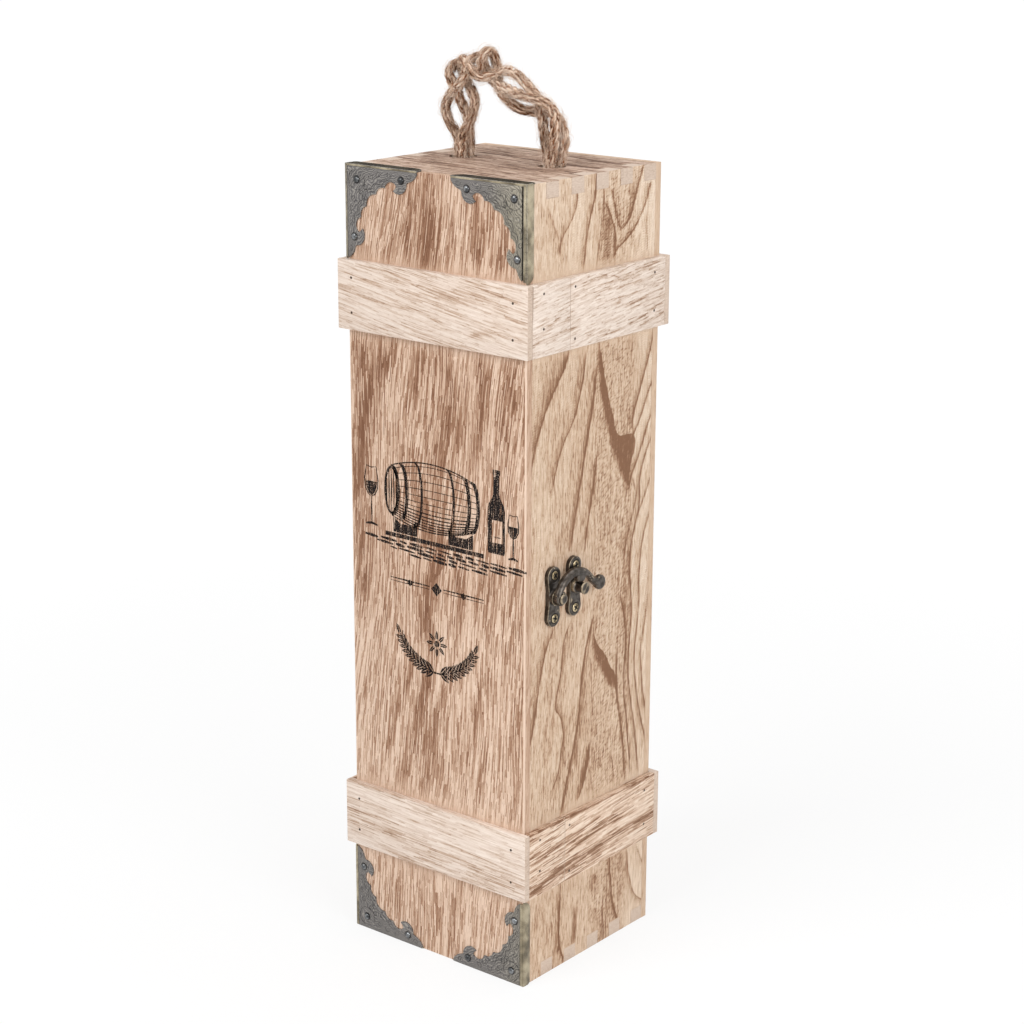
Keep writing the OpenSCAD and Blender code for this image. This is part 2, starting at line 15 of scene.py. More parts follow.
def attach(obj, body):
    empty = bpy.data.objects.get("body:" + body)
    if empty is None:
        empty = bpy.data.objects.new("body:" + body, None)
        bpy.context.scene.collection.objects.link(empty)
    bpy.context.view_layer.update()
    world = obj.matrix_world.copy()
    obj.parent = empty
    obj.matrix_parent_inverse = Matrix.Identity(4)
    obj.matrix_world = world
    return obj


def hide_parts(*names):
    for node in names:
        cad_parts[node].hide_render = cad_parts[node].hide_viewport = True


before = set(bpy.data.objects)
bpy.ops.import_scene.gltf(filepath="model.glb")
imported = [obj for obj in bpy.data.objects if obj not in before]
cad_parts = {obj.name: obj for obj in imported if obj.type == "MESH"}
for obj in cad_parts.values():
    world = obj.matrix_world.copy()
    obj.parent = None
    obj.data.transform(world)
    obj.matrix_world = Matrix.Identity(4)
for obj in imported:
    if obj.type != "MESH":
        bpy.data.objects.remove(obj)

LOG = logging.getLogger("wine_box")
MM = 0.001
Point = tuple[float, float]
Triple = tuple[float, float, float]
Colour = tuple[float, float, float]
Faces = list[bmesh.types.BMFace]


class Axis(Enum):
    """An axis of the box, as an index into a point."""

    X = 0
    Y = 1
    Z = 2


class Body(Enum):
    """The rigid bodies that the pieces ride on."""

    CASE = "case"
    LID = "lid"
    HOOK = "hook"


# ------------------------------------------------------------------- plan


@dataclass(frozen=True)
class Plan:
    """The box's driving sizes, in millimetres."""

    width: float = 100
    depth: float = 94
    height: float = 360
    board: float = 7
    face: float = 4
    lid_depth: float = 25.6
    fingers: int = 10
    band: float = 3.3
    band_height: float = 31
    band_zs: Point = (43, 288)
    saw_line: float = 0.05
    hole_y: float = 5
    hole_xs: Point = (-28, 22)
    hole_r: float = 6.2

    @property
    def half(self) -> float:
        """Half of the width."""
        return self.width / 2

    @property
    def front(self) -> float:
        """Place of the front face along Y."""
        return -self.depth / 2

    @property
    def back(self) -> float:
        """Place of the back face along Y."""
        return self.depth / 2

    @property
    def seam(self) -> float:
        """Place of the saw cut between the lid and the case along Y."""
        return self.front + self.lid_depth

    @property
    def frame_front(self) -> float:
        """Place of the frame's front edge, behind the front panel."""
        return self.front + self.face

    @property
    def frame_back(self) -> float:
        """Place of the frame's back edge, before the back panel."""
        return self.back - self.face

    @property
    def band_middle(self) -> float:
        """Height half-way between the lower and the upper slats."""
        return (sum(self.band_zs) + self.band_height) / 2

    @property
    def band_apart(self) -> float:
        """How far each slat's middle is from that height."""
        return (self.band_zs[1] - self.band_zs[0]) / 2

    @property
    def finger(self) -> float:
        """Width of one finger of the corner joints."""
        return (self.frame_back - self.frame_front) / self.fingers

    def cuts(self, odd: bool) -> list[Point]:
        """Ranges along Y that are notched: the odd or the even fingers.

        Args:
            odd: True for the top and bottom boards, False for the side boards.
        Returns:
            The ranges, from the front to the back.
        """
        ranges = []
        for i in reversed(range(self.fingers)):
            if (i % 2 == 1) == odd:
                low = self.frame_back - (i + 1) * self.finger
                ranges.append((low, low + self.finger))
        return ranges


PLAN = Plan()


# ---------------------------------------------------------------- shaders


def srgb(red: float, green: float, blue: float) -> Colour:
    """Turns a display colour from 0 to 255 into the linear colour of a shader."""
    def one(v: float) -> float:
        """Turns one channel."""
        v /= 255
        return v / 12.92 if v <= 0.04045 else ((v + 0.055) / 1.055) ** 2.4
    return one(red), one(green), one(blue)


class Sock:
    """A shader socket that takes part in Python sums and products."""

    def __init__(self, tree: "Tree", out: bpy.types.NodeSocket) -> None:
        """Wraps an output socket of a node in a tree."""
        self.tree = tree
        self.out = out

    def beside(self, output: int | str) -> "Sock":
        """Another output of the same node."""
        return Sock(self.tree, self.out.node.outputs[output])

    def _math(self, operation: str, first: object, second: object) -> "Sock":
        """Adds a Math node on two values or links."""
        return self.tree.node("ShaderNodeMath", {"operation": operation}, {0: first, 1: second})

    def __add__(self, other: object) -> "Sock":
        """self + other."""
        return self._math("ADD", self, other)

    def __radd__(self, other: object) -> "Sock":
        """other + self."""
        return self._math("ADD", other, self)

    def __sub__(self, other: object) -> "Sock":
        """self - other."""
        return self._math("SUBTRACT", self, other)

    def __rsub__(self, other: object) -> "Sock":
        """other - self."""
        return self._math("SUBTRACT", other, self)

    def __mul__(self, other: object) -> "Sock":
        """self * other."""
        return self._math("MULTIPLY", self, other)

    def __rmul__(self, other: object) -> "Sock":
        """other * self."""
        return self._math("MULTIPLY", other, self)

    def __truediv__(self, other: object) -> "Sock":
        """self / other."""
        return self._math("DIVIDE", self, other)

    def __abs__(self) -> "Sock":
        """The absolute value."""
        return self._math("ABSOLUTE", self, 0.0)

    def most(self, other: object) -> "Sock":
        """The larger of the two."""
        return self._math("MAXIMUM", self, other)

    def exp(self) -> "Sock":
        """e to the power of the value."""
        return self._math("EXPONENT", self, 0.0)

    def floor(self) -> "Sock":
        """The whole number below."""
        return self._math("FLOOR", self, 0.0)

    def fract(self) -> "Sock":
        """The part after the decimal point."""
        return self._math("FRACT", self, 0.0)

    def sine(self) -> "Sock":
        """The sine of the value, in turns."""
        return self._math("SINE", self * math.tau, 0.0)

    def root(self) -> "Sock":
        """The square root."""
        return self._math("SQRT", self, 0.0)

    def step(self, low: float, high: float) -> "Sock":
        """Rises smoothly from 0 at low to 1 at high, or falls where low is above high."""
        if low > high:
            return 1 - self.step(high, low)
        return self.tree.node("ShaderNodeMapRange", {"interpolation_type": "SMOOTHSTEP"},
                              {0: self, 1: low, 2: high})


class Tree:
    """The node tree of a material or the world, with one method that adds nodes."""

    def __init__(self, owner: bpy.types.Material | bpy.types.World) -> None:
        """Starts with no nodes."""
        owner.use_nodes = True
        self.owner = owner
        self.nodes = owner.node_tree.nodes
        self.links = owner.node_tree.links
        self.nodes.clear()

    @classmethod
    def material(cls, name: str) -> "Tree":
        """The empty tree of a new material."""
        return cls(bpy.data.materials.new(name))

    def node(self, kind: str, settings: Mapping[str, object] | None = None,
             sockets: Mapping[int | str, object] | None = None, out: int | str = 0) -> Sock:
        """Adds a node.

        Args:
            kind: The node's type name.
            settings: Its settings; "stops" fills a ramp and "course" a curve.
            sockets: Values or links of its input sockets.
            out: Which output is returned.
        Returns:
            That output.
        """
        made = self.nodes.new(kind)
        for key, value in (settings or {}).items():
            if key == "stops":
                ramp = made.color_ramp
                while len(ramp.elements) < len(value):
                    ramp.elements.new(1.0)
                for element, (place, colour) in zip(ramp.elements, value):
                    element.position = place
                    element.color = (*colour, 1.0)
            elif key == "course":
                curve = made.mapping.curves[0]
                while len(curve.points) < len(value):
                    curve.points.new(1.0, 1.0)
                for point, place in zip(curve.points, value):
                    point.location = place
                made.mapping.update()
            else:
                setattr(made, key, value)
        for key, value in (sockets or {}).items():
            socket = made.inputs[key]
            if isinstance(value, Sock):
                self.links.new(value.out, socket)
            elif isinstance(value, tuple) and socket.type == "RGBA":
                socket.default_value = (*value[:3], 1.0)
            else:
                socket.default_value = value
        return Sock(self, made.outputs[out] if made.outputs else None)

    def millimetres(self) -> tuple[Sock, Sock, Sock]:
        """The place on the box along X, Y and Z, in millimetres."""
        place = self.node("ShaderNodeTexCoord", out="Object")
        scaled = self.node("ShaderNodeVectorMath", {"operation": "SCALE"}, {0: place, "Scale": 1 / MM})
        x = self.node("ShaderNodeSeparateXYZ", {}, {0: scaled})
        return x, x.beside("Y"), x.beside("Z")

    def place(self) -> Sock:
        """The place on the box as a vector, in millimetres."""
        return self.vector(*self.millimetres())

    def vector(self, x: object, y: object, z: object) -> Sock:
        """Joins three values into a vector."""
        return self.node("ShaderNodeCombineXYZ", {}, {0: x, 1: y, 2: z})

    def noise(self, place: Sock, scale: float, detail: float, rough: float) -> Sock:
        """Soft noise around 0.5 at a place."""
        return self.node("ShaderNodeTexNoise", {}, {
            "Vector": place, "Scale": scale, "Detail": detail, "Roughness": rough})

    def chance(self, x: object, y: object, seed: float) -> Sock:
        """A number from 0 to 1 that each whole pair has for itself."""
        return self.node("ShaderNodeTexWhiteNoise", {"noise_dimensions": "3D"},
                         {0: self.vector(x, y, seed)})

    def ramp(self, value: Sock, tones: Sequence[Triple]) -> Sock:
        """Turns a value into a colour between display colours that lie evenly from 0 to 1."""
        last = len(tones) - 1
        stops = [(i / last, srgb(*tone)) for i, tone in enumerate(tones)]
        return self.node("ShaderNodeValToRGB", {"stops": stops}, {0: value})

    def mix(self, share: Sock, first: Sock | Triple, second: Triple) -> Sock:
        """Mixes a colour, or a link to one, with a second display colour."""
        base = first if isinstance(first, Sock) else srgb(*first)
        return self.node("ShaderNodeMix", {"data_type": "RGBA"},
                         {0: share, 6: base, 7: srgb(*second)}, out=2)

    def bump(self, height: Sock, distance_mm: float, strength: float) -> Sock:
        """A normal that follows a height of the given size."""
        return self.node("ShaderNodeBump", {}, {
            "Strength": strength, "Distance": distance_mm * MM, "Height": height})

    def close(self, **sockets: object) -> bpy.types.Material:
        """Ends the tree with a Principled shader.

        Args:
            sockets: Its values or links, with _ for a space in a name.
        Returns:
            The material.
        """
        named = {key.replace("_", " "): value for key, value in sockets.items()}
        shader = self.node("ShaderNodeBsdfPrincipled", {}, named)
        self.node("ShaderNodeOutputMaterial", {}, {0: shader})
        return self.owner


class Finish:
    """Something that makes one material, kept for its next use.

    slot: the record's material slot that it stands for, if any; a piece whose first finish has one hides
    the imported part.
    """

    made: dict["Finish", bpy.types.Material] = {}
    slot: str | None = None

    def material(self) -> bpy.types.Material:
        """The finish's material, made once."""
        if self not in Finish.made:
            Finish.made[self] = self.build()
        return Finish.made[self]

    def build(self) -> bpy.types.Material:
        """Makes the material."""
        raise NotImplementedError


# ------------------------------------------------------------------- wood

# Range across a board that a grain line's curve covers
CURVE_SPAN = 120.0


@dataclass(frozen=True)
class GrainLine:
    """A line of dark late wood.

    course: its places as (along, across), from low to high along the board.
    width: half of the dark core. shade: how far the soft side reaches, towards
    larger places where positive. depth: its darkness.
    """

    course: tuple[Point, ...]
    width: float = 0.45
    shade: float = 3.0
    depth: float = 0.8
    fade: float = 6.0
    body: float = 0.62

    def across(self, tree: Tree, along: Sock) -> Sock:
        """Where the line is across the board at a place along it."""
        low, high = self.course[0][0], self.course[-1][0]
        level = sum(c for _, c in self.course) / len(self.course)
        points = [((a - low) / (high - low), (c - level) / CURVE_SPAN + 0.5) for a, c in self.course]
        share = (along - low) / (high - low)
        curve = tree.node("ShaderNodeFloatCurve", {"course": points}, {1: share})
        return (curve - 0.5) * CURVE_SPAN + level

    def reach(self, tree: Tree, along: Sock) -> Sock:
        """1 along the line, fading to 0 at its ends."""
        low, high = self.course[0][0], self.course[-1][0]
        rise = along.step(low - self.fade, low + self.fade)
        return rise * along.step(high + self.fade, high - self.fade)

    def mask(self, tree: Tree, along: Sock, across: Sock) -> Sock:
        """How dark the line makes a place, from 0 to 1."""
        off = across - self.across(tree, along)
        core = (off * off * (-1 / self.width ** 2)).exp()
        side = math.copysign(1.0, self.shade)
        soft = (abs(off) * (-1 / abs(self.shade))).exp() * (off * side).step(-0.3, 0.3)
        return core.most(soft * self.body) * self.reach(tree, along) * self.depth


@dataclass(frozen=True)
class GrainWedge:
    """A filled point of late wood between two lines, soft on its first one."""

    first: GrainLine
    second: GrainLine
    soft: float = 4.5
    depth: float = 0.78

    def mask(self, tree: Tree, along: Sock, across: Sock) -> Sock:
        """How dark the wedge makes a place, from 0 to 1."""
        inner = (across - self.first.across(tree, along)).step(-self.soft / 2, self.soft / 2)
        outer = (self.second.across(tree, along) - across).step(-0.2, 0.5)
        return inner * outer * self.first.reach(tree, along) * self.depth


Figure = tuple[GrainLine | GrainWedge, ...]


def _line(course: tuple[Point, ...], shade: float = -2.6, depth: float = 0.8, width: float = 0.85,
          fade: float = 5.0, body: float = 0.7) -> GrainLine:
    """A thin grain line with one soft side."""
    return GrainLine(course, width, shade, depth, fade, body)


def _zone(course: tuple[Point, ...], width: float, depth: float, fade: float = 12.0) -> GrainLine:
    """A broad soft zone of darker wood."""
    return GrainLine(course, width, 0.4, depth, fade, 0.0)


# The right-hand boards' figure, as (height, place along Y)
SIDE_FIGURE: Figure = (
    GrainWedge(
        GrainLine(((217, 26.6), (221, 23.2), (230, 18.2), (240, 13.4), (250, 9.6), (259, 6.7),
                   (269, 4.4), (288, 2.6)), fade=1.5),
        GrainLine(((217, 27.2), (226, 28.2), (241.5, 28.6), (242, 20), (252, 14.6), (265, 9.8),
                   (275, 6.8), (288, 3.2)))),
    GrainWedge(
        GrainLine(((123, 19.2), (126, 15.4), (131, 11.6), (138, 6.8), (145.5, 3), (158, 1.6)), fade=1),
        GrainLine(((123, 20), (129, 19.9), (135, 15.6), (142.5, 10.8), (149, 5), (158, 2.3)))),
    GrainWedge(
        GrainLine(((78, -9), (87, -6), (94, -3.4), (102, -0.8)), fade=1),
        GrainLine(((78, -7.2), (84, -3.6), (91, -1), (102, 0.4)))),
    _line(((200, -15.3), (218, -10.9), (242, -5.2), (260, -0.8), (275, 1.8)), -2.6, 0.85),
    _line(((198, -5), (213, -1.8), (222, 0.1), (235, 2.4)), -2.0, 0.7),
    _line(((220, -45), (234, -44.2), (247, -41.2), (256, -37.4), (265, -32.4), (274, -25.6),
           (280, -21), (289, -17.6)), -5.5, 0.95, 0.8),
    _line(((228, -28.4), (237, -25.8), (247, -20.8), (254, -15.3), (262, -11.3), (271, -8.4),
           (284, -6)), -3.4, 0.72, 0.6),
    _line(((75, -20.4), (90, -16.2), (98, -13.3), (109, -10), (118, -8.4), (126, -7.1),
           (136, -6), (145, -4.2), (153, -1.8), (161, 1.2)), 2.6, 0.85),
    _line(((89, -26.6), (96, -22.5), (105, -20.5), (112, -19.3), (117, -20), (122, -21.6),
           (126, -24.7), (132, -24.5), (141, -21.6), (150, -20.4), (158, -18.8), (164, -15)),
          2.4, 0.75, 0.5),
    _line(((108, -46.4), (113, -44), (121, -41.2), (129, -39.4), (140, -37), (150, -34.4),
           (158, -31), (164, -27)), -3.6, 0.85, 0.6),
    # the right-hand lines, from the inside out
    _line(((77, 27.2), (85, 26.8), (95, 25.6), (106, 23.6), (116, 21.3), (126, 20), (141, 19.8)),
          1.6, 0.75),
    _line(((78, 31.4), (88, 30.8), (97, 29.4), (107, 28), (117, 26.3), (131, 25.8), (142, 26.3),
           (151, 26), (159, 24.6), (165, 22.4)), 1.8, 0.95, 0.55),
    _line(((77, 38), (84, 37), (95, 35.2), (105, 33.3), (115, 31), (126, 29), (137, 28.8),
           (151, 30), (161, 30.4), (170, 29.4), (180, 28.5), (189, 29.4), (197, 31.6), (206, 34.8),
           (219, 34.9), (227, 37.6), (234, 41.5), (241, 47)), -2.6, 0.85),
    _line(((83, 46.4), (90, 44.3), (98, 41), (109, 37.6), (119, 35.2), (131, 33.6), (142, 33.8),
           (154, 35.6), (164, 36.2), (173, 35.9), (183, 36.8), (193, 39), (200, 42.4), (206, 47)),
          -2.6, 0.85),
    _line(((98, 47.4), (104, 44.3), (112, 41.4), (122, 39.5), (132, 38.4), (138, 38.4), (145, 39.6),
           (154, 41.9), (164, 43.4), (173, 44.8), (188, 47.2)), -2.6, 0.8),
    _line(((185, 24), (195, 26.6), (202, 29.6), (208, 31.8), (219, 30.5), (222, 28.6)), -1.8, 0.5),
    _line(((200, 28.6), (208, 31.6), (219, 34.4), (222, 35)), -2, 0.7),
    _line(((216, 27), (222, 28.6), (227, 31.8), (236, 36.7), (243, 40), (248, 43.4), (253, 47.4)),
          -2.4, 0.9),
    _line(((236, 28.4), (240, 29.2), (245, 32.8), (251, 36.6), (259, 40.5), (264, 44.3),
           (270, 47.4)), -2.2, 0.9),
    _line(((244, 28.6), (252, 30), (258, 32.8), (269, 37.6), (277, 41), (289, 44)), -2.6, 1.0, 0.65),
    _line(((200, 32.4), (207, 36.7), (215, 41.5), (223, 45.3), (228, 47.4)), -2.2, 0.75),
    _line(((196, 39.6), (202, 42.6), (208, 47.2)), -2.0, 0.6),
    _line(((78, 18.9), (86, 18.2), (91, 17)), -1.4, 0.55, 0.4, 3),
    # above the upper band
    _line(((319, -8.6), (330, -7.1), (337, -5.7), (343, -3.7), (350, -1.3), (361, -0.2)), -2.6, 0.9, 0.7),
    _line(((319, 0.4), (328, 2), (341, 4.9), (353, 5)), 2.0, 0.6, 0.6),
    _line(((329, -25.2), (335, -23.6), (340, -19.1), (345, -15.3), (354, -13.2)), -2.4, 0.75, 0.6, 2),
    _line(((333, -24), (339, -28), (348, -32.6)), -3.0, 0.42, 0.9, 3),
    _zone(((321, 8), (332, 8), (342, 7)), 4.6, 0.62, 3),
    _line(((323, 13.6), (333, 13.6), (340, 10.7), (347, 6.2)), -3.4, 0.9, 0.9, 2),
    _line(((334, 18.4), (336, 16.6), (341, 14.5), (352, 11)), 2.4, 0.85, 0.9, 1),
    _line(((334, 18.4), (337.4, 23.2), (345, 27), (352, 29.9), (361, 34)), -3.4, 0.95, 0.9, 1),
    _line(((322, 12.6), (326, 15.5), (328.4, 20.3), (332, 26), (338, 31.8), (344, 35.7), (352, 38.6)),
          -3.0, 0.95, 0.9, 1),
    _line(((322, 37.6), (330, 37), (338, 36.6)), -3.0, 0.6, 0.7, 3),
    _line(((322, 29.6), (330, 32)), -2.0, 0.6, 0.7, 3),
    # below the lower band
    _line(((0, -16), (6.5, -19.6), (13, -21), (25, -20.8), (43, -20)), -1.6, 0.8, 0.5, 3),
    _zone(((7, -10), (16, -9.6), (25, -9.4)), 1.6, 0.6, 3),
    _line(((6, 24), (15, 20.3), (25, 18.4), (40, 17), (44, 17)), -2.4, 0.9, 0.7, 3),
    _line(((0, 13.1), (8, 12.6), (17, 11.6)), -1.6, 0.6, 0.5, 3),
    _line(((7, 47.6), (14, 37.6), (22, 33.8), (30, 31.4), (41, 30)), -5.0, 0.8, 0.6, 3),
    _line(((22, 47.6), (30, 42.4), (40, 37.6)), -3.4, 0.6, 0.8, 3),
    _zone(((28, 3), (33, 4), (37, 6)), 2.6, 0.5, 3),
)

# The front panel's darker zones, as (height, place along X)
FRONT_FIGURE: Figure = (
    _zone(((316, -7), (330, -5), (342, -4), (350, -5)), 6.5, 0.95, 8),
    _zone(((330, -6), (352, -4), (364, -3)), 8, 0.55, 10),
    _zone(((322, -16), (340, -14), (352, -11)), 3, 0.7, 8),
    _zone(((324, 24), (340, 24), (352, 22)), 4.5, 0.62, 5),
    _zone(((324, 8), (336, 10), (344, 9)), 3, 0.6, 6),
    _zone(((320, -28), (328, -28), (336, -27)), 3, 0.35, 5),
    _zone(((322, 36), (330, 35), (338, 34)), 3, 0.4, 5),
    _zone(((205, -49), (232, -44), (250, -41), (265, -36), (275, -31), (283, -28)), 5.6, 1.0, 10),
    _zone(((262, -44), (275, -41), (284, -38)), 4, 0.5, 5),
    _zone(((262, -11), (274, -9), (283, -8)), 5, 0.75, 6),
    _zone(((225, -1), (240, 2), (255, 6), (270, 6), (284, 5)), 5, 0.8, 8),
    _zone(((236, 10), (255, 14), (272, 17)), 4, 0.55, 8),
    _zone(((240, 22), (262, 26), (283, 27)), 3.6, 0.72, 8),
    _zone(((250, 36), (270, 39), (285, 42)), 4, 0.5, 8),
    _zone(((160, -44), (176, -43), (190, -42), (212, -46)), 5, 0.55, 12),
    _zone(((150, -7), (168, -5), (186, -1), (202, 1)), 5, 0.85, 10),
    _zone(((196, -6), (212, -4), (228, -2)), 6, 0.6, 10),
    _zone(((160, 12), (176, 14), (192, 15)), 3.4, 0.5, 8),
    _zone(((165, 28), (180, 29), (195, 30)), 3.4, 0.5, 8),
    _zone(((84, -34), (96, -30), (108, -26), (120, -22), (134, -16), (142, -13)), 3.2, 0.62, 8),
    _zone(((78, -24), (90, -20), (104, -14), (118, -11), (128, -8), (140, -3)), 4.2, 0.78, 8),
    _zone(((80, -8), (92, -5), (108, -3), (124, 2), (138, 8)), 3.6, 0.72, 8),
    _zone(((80, 3), (98, 3.5), (112, 5), (130, 10)), 1.8, 0.5, 8),
    _zone(((88, 17), (106, 19), (122, 22), (140, 26)), 3.4, 0.6, 8),
    _zone(((86, 26), (100, 27), (112, 28)), 2.4, 0.5, 6),
    _zone(((80, 45), (100, 46), (130, 47)), 3.4, 0.4, 12),
    _zone(((102, -49), (116, -46), (128, -40)), 5, 0.35, 8),
    _zone(((2, 7), (14, 9), (26, 11), (38, 13), (44, 14)), 2.2, 0.8, 4),
    _zone(((12, -28), (22, -26), (34, -22)), 4.5, 0.42, 6),
    _zone(((26, -16), (34, -16), (42, -15)), 3, 0.35, 5),
    _zone(((10, -14), (20, -12), (28, -12)), 3, 0.3, 5),
    _line(((74, 48.7), (180, 48.9), (288, 48.8)), -0.5, 0.62, 0.28, 2, 0.2),
    _line(((6, 48.7), (20, 48.9), (42, 48.8)), -0.5, 0.5, 0.28, 2, 0.2),
)

# The right-hand slats' lines, as (place along Y, height)
UPPER_SIDE_FIGURE: Figure = (
    _line(((14, 312.6), (22, 313.6), (30.5, 315.5), (42, 317)), 1.2, 0.9, 0.35, 3),
    _line(((10, 309.6), (20, 310.4), (30, 311.2)), -0.8, 0.75, 0.3, 3),
    _line(((17, 300.6), (25, 301.6), (33, 302.6)), 0.9, 0.85, 0.35, 3),
    _line(((20, 292.4), (27, 293.6), (33, 295)), 0.9, 0.9, 0.35, 3),
    _line(((36, 296.4), (42, 298), (48, 299.4)), -0.8, 0.85, 0.3, 3),
    _line(((2, 290), (10, 291), (18, 291.6)), 0.8, 0.7, 0.3, 3),
    _line(((-46, 294.3), (-30, 296), (-17, 297.2)), -0.8, 0.65, 0.3, 3),
    _line(((-10, 292), (-5, 292.8)), 0.8, 0.7, 0.3, 1.5),
    _line(((0, 317), (6, 316), (12, 314.6)), -0.8, 0.8, 0.35, 2),
    _line(((-32, 315.6), (-26, 316.2), (-20, 315.8)), -0.8, 0.5, 0.3, 2),
    _line(((-14, 315), (-6, 316.2), (-1, 316.4)), -1.0, 0.6, 0.35, 2),
    _line(((8, 305.2), (20, 305.6), (30, 307)), -0.8, 0.5, 0.3, 3),
    _line(((26, 290.2), (34, 291), (44, 293.2), (50, 296)), 0.9, 0.7, 0.35, 3),
)
LOWER_SIDE_FIGURE: Figure = (
    GrainLine(((-47, 45), (-34, 48.6), (-20, 50.6), (-4, 51.6), (16, 53.2), (30, 53.8), (52, 54.2)),
              1.5, 2.4, 1.0, 3, 0.6),
    _line(((-50, 44), (-34, 46.4), (-20, 48.3), (-4, 50), (8, 50.2)), -1.4, 0.75, 0.4),
    _line(((-46, 55.8), (-34, 56.6), (-22, 58.3)), 1.6, 0.85, 0.45, 3),
    _line(((-46, 59), (-34, 60.6), (-22, 63.3)), 1.6, 0.8, 0.45, 3),
    _line(((-46, 62.4), (-38, 63), (-31, 64.5)), 1.2, 0.75, 0.4, 3),
    _line(((-36, 67.6), (-28, 67.4), (-24, 68.8)), 1.2, 0.6, 0.4, 3),
    _line(((-20, 56.2), (-4, 59), (8, 60), (22, 60)), 2.0, 0.85, 0.5, 3),
    _line(((-20, 60.4), (-4, 61.8), (10, 63.4)), 1.6, 0.75, 0.45, 3),
    _line(((-20, 63.4), (-4, 64.8), (4, 66)), 1.2, 0.7, 0.4, 3),
    _line(((-20, 66.8), (-10, 68.4), (-2, 69.4)), 1.2, 0.65, 0.4, 3),
    _line(((-52, 73.7), (0, 73.4), (52, 73.5)), -0.8, 0.95, 0.5, 2),
    _line(((-50, 71.6), (-36, 71.2), (-24, 70)), -1.0, 0.6, 0.4, 3),
    _zone(((12, 61), (22, 60), (32, 60)), 7, 0.35, 5),
    _zone(((12, 48), (20, 49), (26, 48)), 1.6, 0.5, 4),
    _zone(((30, 52), (40, 52), (50, 51)), 1.6, 0.45, 4),
)
# The front slats' lines, as (place along X, height)
UPPER_FRONT_FIGURE: Figure = (
    _line(((-52, 314), (-40, 311.6), (-25.5, 308.4)), 1.6, 0.75, 0.35),
    _line(((-27, 317.4), (-3.3, 311), (6, 309), (16, 307.2)), 1.6, 0.75, 0.35),
    _line(((-54, 306.2), (-35, 303), (-18, 301.4), (-3, 299.8), (9.5, 296)), 1.6, 0.85, 0.35),
    _line(((16, 317.2), (30, 314.8), (50, 311)), 1.4, 0.7, 0.35),
    _zone(((22, 294), (28, 296), (34, 297)), 1.6, 0.6, 3),
    _line(((20, 293), (30, 296), (38, 298), (46, 297.2), (53, 295.6)), -1.2, 0.7, 0.35),
    _line(((33, 305.2), (44, 304), (53, 302.4)), 1.2, 0.5, 0.3),
    _line(((-40, 311.8), (-18, 306.4), (2, 303.4), (20, 301)), 1.6, 0.35, 0.3),
    _line(((-20, 296), (0, 292.6), (20, 289)), 1.6, 0.3, 0.3),
)
LOWER_FRONT_FIGURE: Figure = (
    _line(((-54, 65.2), (-26, 65.4), (-6, 64.2)), -1.6, 0.8, 0.35),
    _line(((-54, 60), (-28, 60), (-6, 59.4)), -1.6, 0.8, 0.35),
    _line(((-54, 53.8), (-20, 54.2), (18, 53.2), (53, 50.8)), -1.6, 0.75, 0.35),
    _line(((-2, 65), (22, 63.2), (53, 60)), -1.8, 0.7, 0.35),
    _line(((5, 59.2), (28, 57.4), (53, 55.2)), -1.4, 0.7, 0.35),
    _line(((-53, 73.8), (-40, 73.6), (-18, 73.6)), -0.8, 1.0, 0.4, 2),
    _line(((-54, 49), (0, 49), (53, 47)), -1.2, 0.35, 0.3),
    _zone(((-30, 57), (-24, 56), (-18, 56)), 2.2, 0.5, 4),
    _zone(((-10, 70), (10, 69), (30, 67)), 3.0, 0.3, 8),
)

# The top boards' dark lines, as (place along X, place along Y)
TOP_FIGURE: Figure = (
    _line(((-31, 20.4), (-22, 19.6), (-8, 17), (4, 15), (11, 14)), 2.4, 1.1, 0.75, 2),
    _line(((22, 13), (30, 12), (42, 11.6)), 2.4, 1.1, 0.75, 2),
    _line(((-33, 44), (-20, 41.4), (-6, 37.4)), 2.6, 0.85, 0.7, 3),
    _line(((9, 34.6), (24, 31), (43, 27.4)), 2.6, 0.9, 0.8, 3),
    _line(((-50, -6), (-40, -7.2), (-30, -6.6)), 1.6, 0.6, 0.6, 3),
    _line(((34, -3), (44, -8), (50, -11)), 1.6, 0.6, 0.6, 3),
    _zone(((2, -8), (12, -11), (24, -10), (34, -8)), 6, 0.6, 6),
    _zone(((-30, -18), (-20, -20), (-8, -22)), 4, 0.35, 6),
    _zone(((-48, -16), (-42, -17), (-36, -18)), 2, 0.5, 4),
    _line(((-50, 31), (-20, 27), (10, 24), (50, 20)), 2, 0.35, 0.4),
)


# The middle of the box along each axis, and how far from it the outer faces lie
OUTER_SKIN = {Axis.X: (0, PLAN.half), Axis.Y: (0, PLAN.back), Axis.Z: (PLAN.height / 2, PLAN.height / 2)}
# The tone that the wood is drawn to inside, and how much of its contrast is left there
PLAIN_TONE = 0.62
PLAIN_CONTRAST = 0.38


